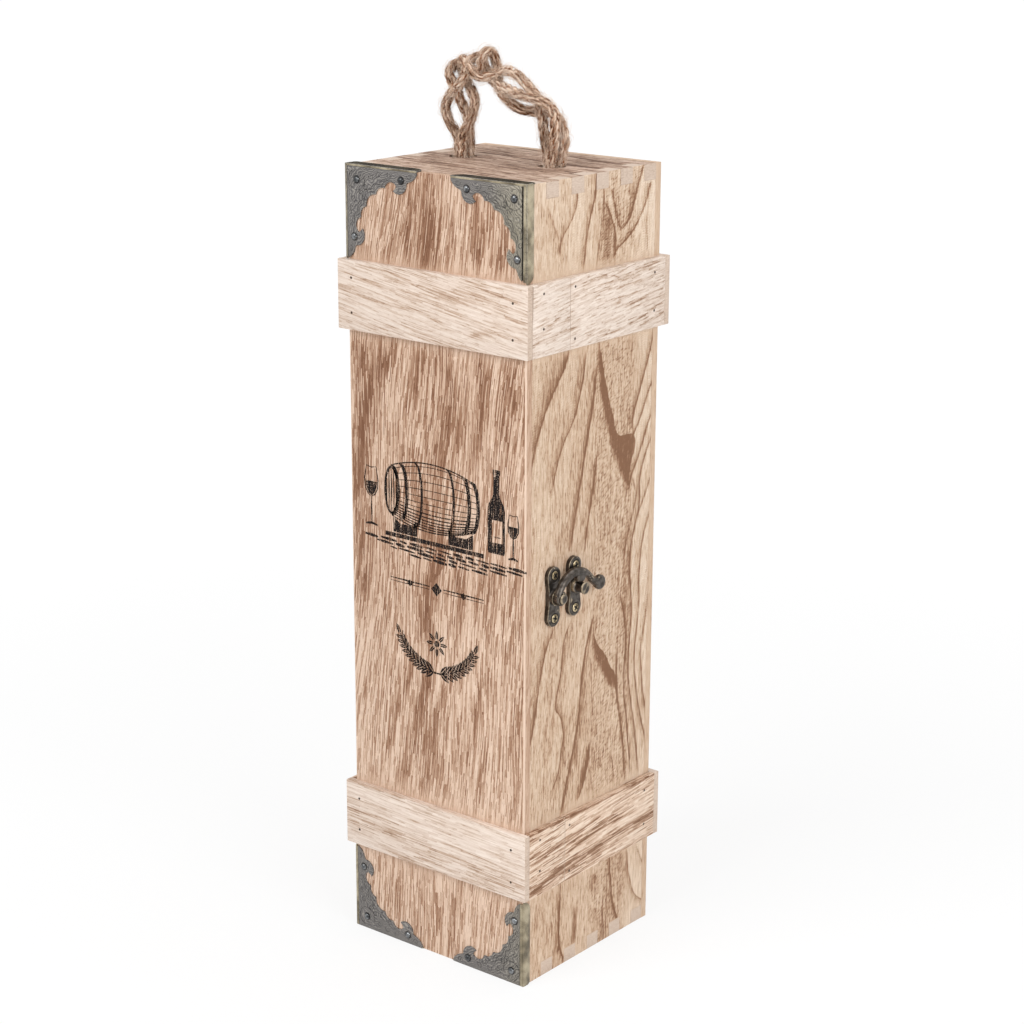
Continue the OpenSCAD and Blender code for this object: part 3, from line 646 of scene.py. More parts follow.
class Grain:
    """A board's places in millimetres and the noises that its layers share.

    bent is the place across the grain as the grain drifts; broad, coarse and
    fine are noises from slow to quick, and mixed is the last two together.
    """

    def __init__(self, tree: Tree, wood: "Wood") -> None:
        """Makes the places and the noises of a wood."""
        self.tree, self.seed = tree, wood.seed
        place = tree.millimetres()
        self.x, self.y, self.z = place
        self.axis = ({Axis.X, Axis.Y, Axis.Z} - {wood.along, wood.across}).pop()
        axes = (wood.along, wood.across, self.axis)
        self.along, self.across, self.depth = (place[axis.value] for axis in axes)
        drift = (self.noise(self.across, 0.009, 0.02, 1.7, 1.0) - 0.5) * wood.wander
        self.bent = self.across + self.along * wood.lean + drift
        self.broad = self.noise(self.bent, 0.014, 0.085, 3.3)
        self.coarse = self.noise(self.bent, wood.run, wood.streak, 8.2, rough=0.6)
        self.fine = self.noise(self.bent, wood.run * 2.2, wood.streak * 1.6, 12.4, 1.0)
        self.mixed = self.coarse * 0.62 + self.fine * 0.38

    def noise(self, across: Sock, a: float, c: float, shift: float, detail: float = 2.0,
              rough: float = 0.5, along: Sock | None = None) -> Sock:
        """Noise with a scale of its own along and across the grain.

        Args:
            across: The place across the grain.
            a: Its scale along the grain.
            c: Its scale across the grain.
            shift: What sets it apart from the wood's other noises.
            detail: Its octaves.
            rough: How strong they are.
            along: The place along the grain, where it is not the board's own.
        Returns:
            The noise, from 0 to 1.
        """
        run = self.along if along is None else along
        vector = self.tree.vector(run * a + self.seed + shift, across * c, self.depth * c)
        return self.tree.noise(vector, 1.0, detail, rough)

    def pores(self, across: Sock, pitch: float, length: float) -> Sock:
        """Narrow straight pores, each with a value of its own from 0 to 1."""
        column = (across * pitch).floor()
        row = (self.along / length + self.tree.chance(column, 0.5, self.seed) * 5.0).floor()
        return self.tree.chance(column, row, self.seed + pitch)


@dataclass(frozen=True)
class Wood(Finish):
    """Scorched and brushed pale wood with its grain along one axis.

    tones: five display colours from the darkest late wood to the palest.
    lean: how far the grain drifts across per millimetre along.
    wander: how far slow waves carry it, in millimetres.
    clouds: strength of the broad tone changes.
    pale, dark: strength of the thin streaks. fine: strength of the finest ones.
    streak, run: streaks per millimetre across and along. pores: strength of the
    small flecks. depth: strength of the drawn figure. wobble: how far its lines
    waver. arris: where the painted highlight along the box's upright front
    edges lies, as the sum of x and y.
    rings: strength of drawn year rings, with their pitch. haze: how pale the
    wood is beside the slats. ruffle: strength of the cross ripple. crisp: how
    soft a pale streak's edge is. patchy: how far pale streaks keep to zones.
    ground: the tone between the streaks. crown, foot: how much paler the wood
    is above the upper slat, and low down. dashes: strength of the crisp open
    pores. dash: how many lie side by side in a millimetre, and their length.
    """

    name: str
    along: Axis
    across: Axis
    tones: tuple[Triple, ...]
    seed: float
    lean: float = 0.0
    wander: float = 6.0
    clouds: float = 0.45
    pale: float = 0.1
    dark: float = 0.12
    fine: float = 0.4
    streak: float = 0.9
    run: float = 0.05
    pores: float = 0.3
    rings: float = 0.0
    pitch: float = 6.0
    figure: Figure = ()
    depth: float = 0.46
    arris: float = 0.0
    haze: float = 0.0
    ruffle: float = 0.0
    wobble: float = 0.3
    crisp: float = 0.08
    patchy: float = 0.0
    ground: float = 0.56
    crown: float = 0.0
    foot: float = 0.0
    dashes: float = 0.0
    dash: Point = (1.25, 8.0)
    slot: str = "side_wood"

    def _drawn(self, g: Grain) -> Sock | float:
        """How dark the drawn figure makes a place, from 0 to 1."""
        across = g.across + (g.coarse - 0.5) * self.wobble * 1.4 + (g.fine - 0.5) * self.wobble
        drawn: Sock | float = 0.0
        for part in self.figure:
            mask = part.mask(g.tree, g.along, across)
            drawn = mask.most(drawn)
        return drawn

    def _streaked(self, g: Grain, drawn: Sock | float) -> tuple[Sock, Sock]:
        """The tone of the streaks and pores, and the relief."""
        flecks = g.noise(g.bent, 0.32, 1.7, 17.9, 1.0)
        cover = g.mixed + (g.broad - 0.3 - drawn * 0.5) * self.patchy
        tone = (g.broad - 0.5) * self.clouds + (g.fine.step(0.4, 0.6) - 0.5) * self.fine + self.ground
        tone = tone + cover.step(0.56 - self.crisp / 2, 0.56 + self.crisp / 2) * self.pale
        tone = tone - g.mixed.step(0.46, 0.37) * self.dark
        pore = flecks.step(0.60, 0.68) * self.pores
        tone = tone - pore * 0.4 + flecks.step(0.40, 0.31) * (self.pores * 0.2)
        return tone, g.mixed * 0.9 + g.fine * 0.5 - pore

    def _dashed(self, g: Grain, tone: Sock, drawn: Sock | float) -> Sock:
        """The tone with its crisp open pores."""
        pitch, length = self.dash
        bent = g.bent + g.depth + (g.coarse - 0.5) * 1.1
        first = g.pores(bent, pitch, length)
        second = g.pores(bent + 0.3, pitch * 1.43, length * 0.6)
        share = 0.52 + (g.broad - 0.5) * 0.6 - drawn * 0.32
        pale = (share - first).step(-0.04, 0.04)
        return tone + (pale - 0.5 + (second - 0.5) * 0.9) * (1.5 - g.broad) * self.dashes

    def _ringed(self, g: Grain, tone: Sock) -> Sock:
        """The tone with the late wood of its year rings."""
        ring = ((g.bent + g.coarse * 2.0) / self.pitch).fract()
        late = (ring * -5.5).exp() + ring.step(0.9, 1.0)
        return tone - late * (g.broad.step(0.35, 0.6) * 0.6 + 0.4) * self.rings * 0.4

    def _ruffled(self, g: Grain, tone: Sock, height: Sock) -> tuple[Sock, Sock]:
        """The tone and the relief with cross ripples near the board's back edge."""
        along, across = g.along, g.across
        zone = across.step(24, 34).most(g.broad.step(0.5, 0.62) * 0.5)
        tone = tone + across.step(24, 32) * 0.24
        slant = along * 0.9 - across * 0.3 + g.coarse * 2.4
        wave = slant.sine() * g.fine.step(0.34, 0.6)
        tone = tone + wave * zone * self.ruffle
        turned = along * 0.52 + across * 0.95
        herring = g.noise(turned, 1.25, 0.36, 29.3, 1.0, along=along * -0.85 + across * 0.48)
        patch = across.step(-3, 6) * across.step(33, 26)
        tone = tone - herring.step(0.55, 0.66) * patch * 0.26 + herring.step(0.44, 0.34) * patch * 0.12
        return tone - patch * 0.06, height + wave * zone * 0.5 - herring.step(0.55, 0.66) * patch

    def _hazed(self, g: Grain, tone: Sock, skin: Sock) -> Sock:
        """The tone with its paler wood beside the slats, on the outer skin only."""
        off = abs(abs(g.z - PLAN.band_middle) - PLAN.band_apart) - PLAN.band_height / 2
        near = (off.most(0) * -0.36).exp() * (g.mixed.step(0.3, 0.5) * 0.4 + 0.6) * skin * self.haze
        return tone * (1 - near) + near * 0.86

    def build(self) -> bpy.types.Material:
        """Makes the material."""
        tree = Tree.material(self.name)
        g = Grain(tree, self)
        drawn = self._drawn(g)
        tone, height = self._streaked(g, drawn)
        if self.dashes:
            tone = self._dashed(g, tone, drawn)
        if self.rings:
            tone = self._ringed(g, tone)
        if self.ruffle:
            tone, height = self._ruffled(g, tone, height)
        if self.figure:
            tone = tone - drawn * (self.depth + (g.mixed - 0.5) * 0.5)
        if self.crown or self.foot:
            tone = tone + g.z.step(300, 330) * self.crown + g.z.step(190, 110) * self.foot
        middle, reach = OUTER_SKIN[g.axis]
        skin = (abs(g.depth - middle) - reach).step(-0.8, -0.2)
        if self.haze:
            tone = self._hazed(g, tone, skin)
        # only the outer skin is scorched: inside, the wood is plainer
        contrast = skin * (1 - PLAIN_CONTRAST) + PLAIN_CONTRAST
        tone = (tone - PLAIN_TONE) * contrast + PLAIN_TONE
        # painted highlight: a pale strip along the box's upright front edges
        if self.arris:
            edge = (abs(g.x) + abs(g.y)).step(self.arris - 0.6, self.arris - 0.1)
            tone = tone * (1 - edge) + edge * 1.08
        return tree.close(Base_Color=tree.ramp(tone, self.tones), Roughness=0.74 - (tone - 0.5) * 0.12,
                          Normal=tree.bump(height, 0.26, 0.6), Specular_IOR_Level=0.25)


FRONT_TONES = ((122, 84, 62), (152, 114, 89), (184, 150, 126), (208, 178, 155), (226, 200, 179))
SIDE_TONES = ((132, 96, 72), (168, 133, 106), (203, 174, 148), (217, 193, 169), (234, 214, 194))
BAND_TONES = ((150, 120, 97), (190, 163, 142), (217, 198, 183), (228, 212, 199), (238, 224, 212))
TOP_TONES = ((84, 60, 46), (136, 106, 87), (176, 148, 129), (199, 173, 154), (219, 196, 180))
END_TONES = ((150, 124, 104), (180, 155, 136), (203, 182, 165), (214, 195, 179), (224, 207, 193))

LOWER_SIDE_TONES = ((128, 93, 70), (170, 136, 111), (210, 181, 158), (227, 203, 182), (238, 220, 203))

FRONT_WOOD = Wood("wood_front", Axis.Z, Axis.X, FRONT_TONES, 2.1, slot="front_wood", lean=-0.09,
                  wander=14, clouds=0.24, pale=0.06, dark=0.06, fine=0.12, streak=1.25, run=0.026,
                  pores=0.45, figure=FRONT_FIGURE, depth=0.31, arris=96.75, haze=0.7, wobble=2.0,
                  crisp=0.03, patchy=0.22, foot=0.12, dashes=0.43, dash=(2.0, 11.0))
RIGHT_WOOD = Wood("wood_right", Axis.Z, Axis.Y, SIDE_TONES, 11.0, lean=-0.05, wander=10, clouds=0.42,
                  pale=0.06, dark=0.08, fine=0.16, streak=0.55, pores=0.62, figure=SIDE_FIGURE,
                  depth=0.8, haze=0.75, ruffle=0.18, arris=96.75, wobble=0.6, crown=0.14,
                  dashes=0.16, dash=(1.7, 4.0))
LEFT_WOOD = Wood("wood_left", Axis.Z, Axis.Y, SIDE_TONES, 23.0, lean=0.06, wander=30, dark=0.13,
                 fine=0.22, streak=0.55, pores=0.6, rings=0.9, pitch=9.0, haze=0.6, arris=96.75)
BACK_WOOD = Wood("wood_back", Axis.Z, Axis.X, SIDE_TONES, 31.0, lean=0.03, wander=44, pale=0.12,
                 dark=0.13, fine=0.22, streak=0.6, pores=0.55, rings=0.9, pitch=11.0, haze=0.6)
TOP_WOOD = Wood("wood_top", Axis.X, Axis.Y, TOP_TONES, 41.0, slot="top_wood", lean=0.04, wander=8,
                dark=0.14, fine=0.16, streak=1.1, pores=0.7, figure=TOP_FIGURE, depth=0.55,
                wobble=1.0, ground=0.5, dashes=0.32, dash=(1.3, 12.0))
BASE_WOOD = Wood("wood_base", Axis.X, Axis.Y, SIDE_TONES, 53.0, lean=0.04, wander=16, clouds=0.5,
                 pale=0.2, dark=0.18, run=0.04, pores=0.4, rings=0.6, pitch=8.0, fine=0.2)
END_WOOD = Wood("wood_end", Axis.Y, Axis.Z, END_TONES, 57.0, clouds=0.5, pale=0.06, dark=0.08,
                fine=0.14, streak=1.2, run=0.3, pores=0.2)
UPPER_X_WOOD = Wood("wood_band_upper_x", Axis.X, Axis.Z, BAND_TONES, 61.0, slot="band_wood", lean=0.15,
                    wander=8, clouds=0.4, pale=0.08, fine=0.12, streak=1.4, run=0.04, pores=0.4,
                    figure=UPPER_FRONT_FIGURE, depth=0.4, ground=0.53, dashes=0.2, dash=(1.7, 12.0))
UPPER_Y_WOOD = Wood("wood_band_upper_y", Axis.Y, Axis.Z, BAND_TONES, 71.0, slot="band_wood", lean=-0.12,
                    wander=5, clouds=0.3, pale=0.06, fine=0.14, streak=1.2, run=0.06, pores=0.6,
                    figure=UPPER_SIDE_FIGURE, depth=0.5, ground=0.6, dashes=0.3, dash=(1.6, 7.0))
LOWER_X_WOOD = Wood("wood_band_lower_x", Axis.X, Axis.Z, BAND_TONES, 97.0, slot="band_wood", lean=0.03,
                    wander=4, clouds=0.4, pale=0.08, fine=0.12, streak=1.3, run=0.035, pores=0.35,
                    figure=LOWER_FRONT_FIGURE, depth=0.4, ground=0.62, dashes=0.24, dash=(1.7, 14.0))
LOWER_Y_WOOD = Wood("wood_band_lower_y", Axis.Y, Axis.Z, LOWER_SIDE_TONES, 83.0, slot="band_wood",
                    lean=-0.07, wander=5, clouds=0.5, dark=0.1, fine=0.1, streak=1.1, pores=0.4,
                    figure=LOWER_SIDE_FIGURE, depth=0.42, ground=0.58, dashes=0.42, dash=(1.9, 12.0))


# ----------------------------------------------------------------- metals


@dataclass(frozen=True)
class AgedSheet(Finish):
    """Pressed and engraved brass sheet, slate grey with khaki near the box's right edge, and a painted
    highlight on the ridges between the engraved lines.
    """

    name: str = "aged_brass_sheet"
    slot: str = "aged_brass"

    def build(self) -> bpy.types.Material:
        """Makes the material."""
        tree = Tree.material(self.name)
        x, y, z = tree.millimetres()
        place = tree.vector(x, y, z)
        cloud = tree.noise(place, 0.07, 2.0, 0.5)
        grit = tree.noise(place, 1.5, 3.0, 0.65)
        warp = tree.noise(place, 0.22, 1.0, 0.5)
        curl = tree.noise(tree.vector(y, z, x), 0.5, 1.0, 0.5)
        u = (50 - abs(x)).most(0.2)
        w = (180 - abs(z - 180)).most(0.2)
        level = (u * w).root() * 0.62 + (u + w) * 0.16 + (warp - 0.5) * 5.0 + (curl - 0.5) * 1.6
        wave = level.sine()
        line = wave.step(0.55, 0.98)
        # painted highlight on the ridges between the engraved lines
        ridge_highlight = wave.step(-0.5, -0.95)
        broken = grit.step(0.34, 0.52)
        rightward = (x * 0.5 + 0.5 * z * 0.1).step(10, 40)
        khaki = rightward * (cloud.step(0.3, 0.62) * 0.5 + 0.5) * u.step(26, 4)
        colour = tree.mix(khaki, (118, 114, 112), (152, 144, 124))
        colour = tree.mix(cloud.step(0.42, 0.66) * 0.4, colour, (98, 95, 93))
        colour = tree.mix(ridge_highlight * broken * 0.55, colour, (176, 170, 160))
        colour = tree.mix(line * broken * 0.72, colour, (56, 54, 54))
        colour = tree.mix(grit.step(0.58, 0.72) * 0.5, colour, (74, 70, 66))
        height = grit * 0.5 - line * 0.9 + ridge_highlight * 0.3
        return tree.close(Base_Color=colour, Metallic=0.42, Roughness=0.46 + (grit - 0.5) * 0.3,
                          Normal=tree.bump(height, 0.22, 0.7))


@dataclass(frozen=True)
class FoldedEdge(Finish):
    """The folds of the sheet, where the brass shows olive-yellow and paler as a painted highlight; a
    darker copy is painted shade.
    """

    name: str = "aged_brass_fold_highlight"
    tones: tuple[Triple, ...] = ((98, 89, 72), (146, 135, 112), (186, 174, 148))
    metallic: float = 0.5
    roughness: float = 0.42
    gloss: float = 0.5

    def build(self) -> bpy.types.Material:
        """Makes the material."""
        tree = Tree.material(self.name)
        place = tree.place()
        cloud = tree.noise(place, 0.12, 2.0, 0.6)
        grit = tree.noise(place, 2.0, 3.0, 0.65)
        colour = tree.ramp(cloud.step(0.3, 0.7), self.tones)
        colour = tree.mix(grit.step(0.56, 0.72) * 0.6, colour, (60, 54, 42))
        colour = tree.mix(grit.step(0.40, 0.28) * 0.4, colour, (214, 204, 172))
        return tree.close(Base_Color=colour, Metallic=self.metallic,
                          Roughness=self.roughness, Specular_IOR_Level=self.gloss,
                          Normal=tree.bump(grit, 0.12, 0.6))


@dataclass(frozen=True)
class Metal(Finish):
    """A metal with its own colour, cloudy between a low and a high tone; the near-black recess finish and
    the engraving's finish also stand for painted shade.
    """

    name: str
    low: Triple
    high: Triple
    metallic: float
    roughness: float
    slot: str | None = None

    def build(self) -> bpy.types.Material:
        """Makes the material."""
        tree = Tree.material(self.name)
        place = tree.place()
        cloud = tree.noise(place, 0.28, 3.0, 0.6)
        grit = tree.noise(place, 2.4, 3.0, 0.6)
        colour = tree.mix(cloud.step(0.36, 0.64), self.low, self.high)
        return tree.close(Base_Color=colour, Metallic=self.metallic,
                          Roughness=self.roughness + (grit - 0.5) * 0.2,
                          Normal=tree.bump(grit, 0.06, 0.5))


@dataclass(frozen=True)
class WornWithPaintedLight(Finish):
    """Dark cast bronze with golden edges, worn there and painted as a highlight, and painted shade in its
    recesses.
    """

    name: str = "dark_bronze_cast"
    slot: str = "dark_bronze"

    def build(self) -> bpy.types.Material:
        """Makes the material."""
        tree = Tree.material(self.name)
        place = tree.place()
        cloud = tree.noise(place, 0.4, 3.0, 0.6)
        grit = tree.noise(place, 2.2, 3.0, 0.6)
        convex = tree.node("ShaderNodeNewGeometry", out=7)
        # golden convex edges: worn there, and also a painted highlight
        rubbed_and_highlight = convex.step(0.508, 0.55) * (cloud.step(0.32, 0.6) * 0.7 + 0.3)
        # painted shade: near-black where the casting is concave
        hollow_shade = convex.step(0.492, 0.452)
        base = tree.mix(cloud.step(0.35, 0.65), (60, 54, 49), (92, 86, 81))
        colour = tree.mix(rubbed_and_highlight * 0.7, base, (196, 178, 150))
        colour = tree.mix(hollow_shade * 0.85, colour, (24, 18, 14))
        return tree.close(Base_Color=colour, Metallic=0.86, Roughness=0.26 + grit * 0.14,
                          Normal=tree.bump(grit, 0.08, 0.45))


@dataclass(frozen=True)
class Jute(Finish):
    """Twisted jute yarn, brown as painted shade where its fibre bump is low and tan where it is frayed."""

    name: str = "jute_yarn"
    slot: str = "jute"
    tones: tuple[Triple, ...] = ((78, 45, 27), (155, 113, 85), (213, 181, 155), (242, 228, 216))
    bump: float = 0.3

    def build(self) -> bpy.types.Material:
        """Makes the material."""
        tree = Tree.material(self.name)
        place = tree.place()
        cloud = tree.noise(place, 0.14, 2.0, 0.5)
        fibre = tree.noise(place, 2.2, 3.0, 0.7)
        # painted shade: the tone follows the fibre bump, darkest where the bump is lowest
        tone = (fibre - 0.5) * 2.0 + (cloud - 0.5) * 1.4 + 0.5
        return tree.close(Base_Color=tree.ramp(tone, self.tones), Roughness=0.88, Specular_IOR_Level=0.15,
                          Normal=tree.bump(fibre, self.bump, 0.7))


@dataclass(frozen=True)
class Ink(Finish):
    """Black printing ink that the open grain breaks up."""

    name: str = "printed_ink"

    def build(self) -> bpy.types.Material:
        """Makes the material."""
        tree = Tree.material(self.name)
        x, y, z = tree.millimetres()
        grain = tree.noise(tree.vector(x * 2.4, y, z * 0.12), 1.0, 3.0, 0.65)
        speck = tree.noise(tree.vector(x, y, z), 1.7, 3.0, 0.7)
        cover = (grain * 0.6 + speck * 0.4).step(0.585, 0.525)
        colour = tree.mix(speck.step(0.4, 0.62), (20, 18, 19), (44, 37, 35))
        return tree.close(Base_Color=colour, Roughness=0.8, Specular_IOR_Level=0.12, Alpha=cover * 0.98)


SHEET = AgedSheet()
FOLD_HIGHLIGHT = FoldedEdge()
# painted shade: a darker, matt copy of the fold finish for the top brackets' upper folds
SHADED_FOLD = FoldedEdge("aged_brass_shaded_fold", ((34, 30, 25), (50, 45, 37), (72, 66, 55)), 0.0, 0.85, 0.08)
BRONZE = WornWithPaintedLight()
# the engraved lines, and painted shade in the dark rings round the bracket nails
ENGRAVING_AND_SHADE = Metal("engraved_line_and_nail_shade", (44, 42, 41), (66, 63, 60), 0.3, 0.6)
SCREW_BRASS = Metal("screw_brass", (128, 112, 82), (214, 196, 160), 0.9, 0.36, "bright_brass")
# near-black finish of painted shade: screw crosses, rings round screw heads and the bracket groove's floor
RECESS_SHADE = Metal("painted_recess_shade", (26, 22, 18), (40, 34, 28), 0.3, 0.7)
NAIL_STEEL = Metal("nail_steel", (64, 65, 66), (142, 144, 146), 0.95, 0.16, "nail_steel")
BRAD_STEEL = Metal("brad_steel", (52, 40, 32), (84, 66, 52), 0.4, 0.6, "brad_steel")
HINGE_BRASS = Metal("hinge_brass", (120, 104, 70), (168, 150, 104), 0.9, 0.34, "hinge_brass")
JUTE = Jute()
JUTE_HAIR = Jute("jute_hair", bump=0.05,
                 tones=((160, 121, 93), (216, 186, 161), (240, 220, 201), (250, 240, 228)))
DARK_JUTE = Jute("jute_yarn_dark", tones=((50, 28, 15), (103, 62, 38), (156, 108, 76), (205, 167, 138)))
YARN_FINISHES = (JUTE, DARK_JUTE, JUTE_HAIR, DARK_JUTE, JUTE_HAIR)
INK = Ink()


# ----------------------------------------------------------------- shapes


def around(centre: Point, radius: float, start: float, end: float, steps: int) -> list[Point]:
    """Points of an arc in degrees, both ends included."""
    return [(centre[0] + radius * math.cos(math.radians(start + (end - start) * i / steps)),
             centre[1] + radius * math.sin(math.radians(start + (end - start) * i / steps)))
            for i in range(steps + 1)]


def circle(centre: Point, radius: float, steps: int = 32) -> list[Point]:
    """Points all round a circle."""
    return around(centre, radius, 0, 360 - 360 / steps, steps - 1)


# Angle between two faces, in radians, above which the edge between them is sharp
SHARP = 0.6


class Shape:
    """A mesh in the making, in millimetres, that becomes one piece."""

    def __init__(self) -> None:
        """Starts empty."""
        self.bm = bmesh.new()
        self.finishes: list[Finish] = []

    def _paint(self, faces: Faces, finish: Finish | None) -> Faces:
        """Gives faces a finish of their own, where there is one, and returns them."""
        if finish:
            if finish not in self.finishes:
                self.finishes.append(finish)
            for face in faces:
                face.material_index = self.finishes.index(finish) + 1
        return faces

    def _close(self, faces: Faces, finish: Finish | None) -> Faces:
        """Turns the faces of a closed form outwards, paints them and returns them."""
        bmesh.ops.recalc_face_normals(self.bm, faces=faces)
        return self._paint(faces, finish)

    def _skin(self, rings: Sequence[Sequence[bmesh.types.BMVert]]) -> Faces:
        """Adds the faces between rings of the same count of vertices."""
        faces = []
        for a, b in zip(rings, rings[1:]):
            for i in range(len(a)):
                j = (i + 1) % len(a)
                faces.append(self.bm.faces.new((a[i], a[j], b[j], b[i])))
        return faces

    def repaint(self, finish: Finish, where: Callable[[Vector, Vector], bool]) -> None:
        """Gives a finish to the faces whose middle and normal pass a test."""
        self.bm.normal_update()
        self._paint([f for f in self.bm.faces if where(f.calc_center_median(), f.normal)], finish)

    def prism(self, outline: Sequence[Point], low: float, high: float, axis: Axis,
              holes: Sequence[Sequence[Point]] = (), finish: Finish | None = None) -> Faces:
        """Adds an outline drawn across an axis and carried along it.

        Args:
            outline: Corners of the outline on the other two axes, in their order.
            low: Where it starts along the axis.
            high: Where it ends along the axis.
            axis: The axis that it is carried along.
            holes: Outlines of openings right through it.
            finish: A finish of its own.
        Returns:
            Its faces.
        """
        def at(point: Point, along: float) -> Triple:
            """A corner of the outline at a place along the axis."""
            spot = list(point)
            spot.insert(axis.value, along)
            return tuple(spot)
        loops = [list(outline), *[list(h) for h in holes]]
        rings = [[[self.bm.verts.new(at(p, level)) for p in loop] for loop in loops]
                 for level in (low, high)]
        faces = []
        for level in rings:
            flat = [v for loop in level for v in loop]
            if len(loops) == 1:
                faces.append(self.bm.faces.new(flat))
            else:
                for corners in tessellate_polygon([[v.co for v in loop] for loop in level]):
                    faces.append(self.bm.faces.new([flat[i] for i in corners]))
        for pair in zip(*rings):
            faces += self._skin(pair)
        return self._close(faces, finish)

    def box(self, low: Triple, high: Triple, finish: Finish | None = None) -> Faces:
        """Adds a box between two corners."""
        outline = [(low[0], low[1]), (high[0], low[1]), (high[0], high[1]), (low[0], high[1])]
        return self.prism(outline, low[2], high[2], Axis.Z, finish=finish)

    def lathe(self, profile: Sequence[Point], centre: Triple, axis: Axis, sign: float = 1.0,
              steps: int = 28, finish: Finish | None = None) -> None:
        """Adds a turned form.

        Args:
            profile: (radius, height) pairs from one end to the other.
            centre: Where height 0 is on the turning axis.
            axis: The turning axis.
            sign: 1 to build towards the axis, -1 away from it.
            steps: Sides of the turned form.
            finish: A finish of its own.
        """
        others = [a for a in Axis if a is not axis]
        rows = []
        for radius, height in profile:
            row = []
            for i in range(1 if radius < 1e-6 else steps):
                spot = list(centre)
                spot[axis.value] += sign * height
                spot[others[0].value] += radius * math.cos(math.tau * i / steps)
                spot[others[1].value] += radius * math.sin(math.tau * i / steps)
                row.append(self.bm.verts.new(spot))
            rows.append(row)
        faces = []
        for a, b in zip(rows, rows[1:]):
            for i in range(steps):
                ring = [a[i % len(a)], a[(i + 1) % len(a)], b[(i + 1) % len(b)], b[i % len(b)]]
                ring = list(dict.fromkeys(ring))
                if len(ring) > 2:
                    faces.append(self.bm.faces.new(ring))
        for row in (rows[0], rows[-1]):
            if len(row) > 1:
                faces.append(self.bm.faces.new(row))
        self._close(faces, finish)

    def loft(self, rows: Sequence[Sequence[Triple]]) -> None:
        """Adds a form through outlines of the same count of points, with closed ends."""
        rings = [[self.bm.verts.new(p) for p in row] for row in rows]
        ends = [self.bm.faces.new(rings[0]), self.bm.faces.new(rings[-1])]
        self._close(ends + self._skin(rings), None)

    def tube(self, path: Sequence[Vector], radius: Callable[[float], float] | float, sides: int,
             finish: Finish) -> None:
        """Adds a round tube along a path, with closed ends.

        Args:
            path: Points of the middle line.
            radius: The radius, or a function of the share of the length.
            sides: Sides of the tube.
            finish: Its finish.
        """
        rows = []
        count = len(path)
        for i, (spot, side, up) in enumerate(carried(path)):
            r = radius(i / (count - 1)) if callable(radius) else radius
            rows.append([self.bm.verts.new(spot + side * (r * math.cos(math.tau * k / sides))
                                           + up * (r * math.sin(math.tau * k / sides)))
                         for k in range(sides)])
        faces = self._skin(rows)
        faces += [self.bm.faces.new(rows[0][::-1]), self.bm.faces.new(rows[-1])]
        self._paint(faces, finish)

    def cross(self, centre: Point, turn: float, half: float, wide: float, span: Point) -> None:
        """Adds the cross recess of a screw whose head looks along X, as a dark cross of painted shade.

        Args:
            centre: Its place along Y and Z.
            turn: Its turn in degrees.
            half: Half of the length of its slots.
            wide: Half of their width.
            span: Where they start and end along X.
        """
        for quarter in (0, 90):
            a = math.radians(turn + quarter)
            c, s = math.cos(a), math.sin(a)
            outline = [(centre[0] + i * half * c - j * wide * s, centre[1] + i * half * s + j * wide * c)
                       for i, j in ((-1, -1), (1, -1), (1, 1), (-1, 1))]
            self.prism(outline, *span, Axis.X, finish=RECESS_SHADE)

    def bevel(self, edges: Sequence[bmesh.types.BMEdge], width: float, segments: int) -> None:
        """Rounds edges."""
        bmesh.ops.bevel(self.bm, geom=edges, offset=width, segments=segments,
                        profile=0.5, affect="EDGES", clamp_overlap=True)

    def soften(self, width: float, segments: int,
               where: Callable[[Vector], bool] = lambda middle: True) -> None:
        """Rounds the sharp edges whose middle passes a test."""
        self.bevel([e for e in self.bm.edges if e.is_manifold and e.calc_face_angle(0) > SHARP
                    and where((e.verts[0].co + e.verts[1].co) / 2)], width, segments)

    def mesh(self, name: str) -> bpy.types.Mesh:
        """Ends the work on the form and turns it into a mesh, in metres."""
        made = bpy.data.meshes.new(name)
        self.bm.transform(Matrix.Scale(MM, 4))
        self.bm.to_mesh(made)
        self.bm.free()
        return made

    def piece(self, node: str, form: str, body: Body, finish: Finish,
              smooth: float = 35) -> bpy.types.Object:
        """Turns the form into a piece of the scene.

        Args:
            node: The node that it stands for, where its finish has a slot.
            form: What it is of that node, for the end of its name.
            body: The body that it rides on.
            finish: The finish of the faces that have none of their own.
            smooth: Angle in degrees above which an edge stays sharp.
        Returns:
            The piece.
        """
        return settle(self.mesh(f"{node}_{form}"), node, body, [finish, *self.finishes], smooth)


def settle(mesh: bpy.types.Mesh, node: str, body: Body, finishes: Sequence[Finish],
           smooth: float) -> bpy.types.Object:
    """Puts a mesh in the scene as a piece that rides on a body.

    Args:
        mesh: The mesh, with the piece's name.
        node: The node that it stands for, where its first finish has a slot.
        body: The body that it rides on.
        finishes: Its finishes, in the order of its faces' numbers.
        smooth: Angle in degrees above which an edge stays sharp.
    Returns:
        The piece.
    """
    for finish in finishes:
        mesh.materials.append(finish.material())
    mesh.polygons.foreach_set("use_smooth", [True] * len(mesh.polygons))
    mesh.set_sharp_from_angle(angle=math.radians(smooth))
    made = bpy.data.objects.new(mesh.name, mesh)
    bpy.context.scene.collection.objects.link(made)
    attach(made, body.value)
    if finishes[0].slot:
        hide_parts(node)
    LOG.info("%s: %d faces on %s", made.name, len(mesh.polygons), body.value)
    return made


def carried(path: Sequence[Vector]) -> list[tuple[Vector, Vector, Vector]]:
    """Each point of a path with two directions across it that don't twist."""
    rows = []
    side = None
    for i, spot in enumerate(path):
        ahead = (path[min(i + 1, len(path) - 1)] - path[max(i - 1, 0)]).normalized()
        if side is None:
            side = ahead.orthogonal().normalized()
        side = (side - ahead * ahead.dot(side)).normalized()
        rows.append((spot, side, ahead.cross(side)))
    return rows


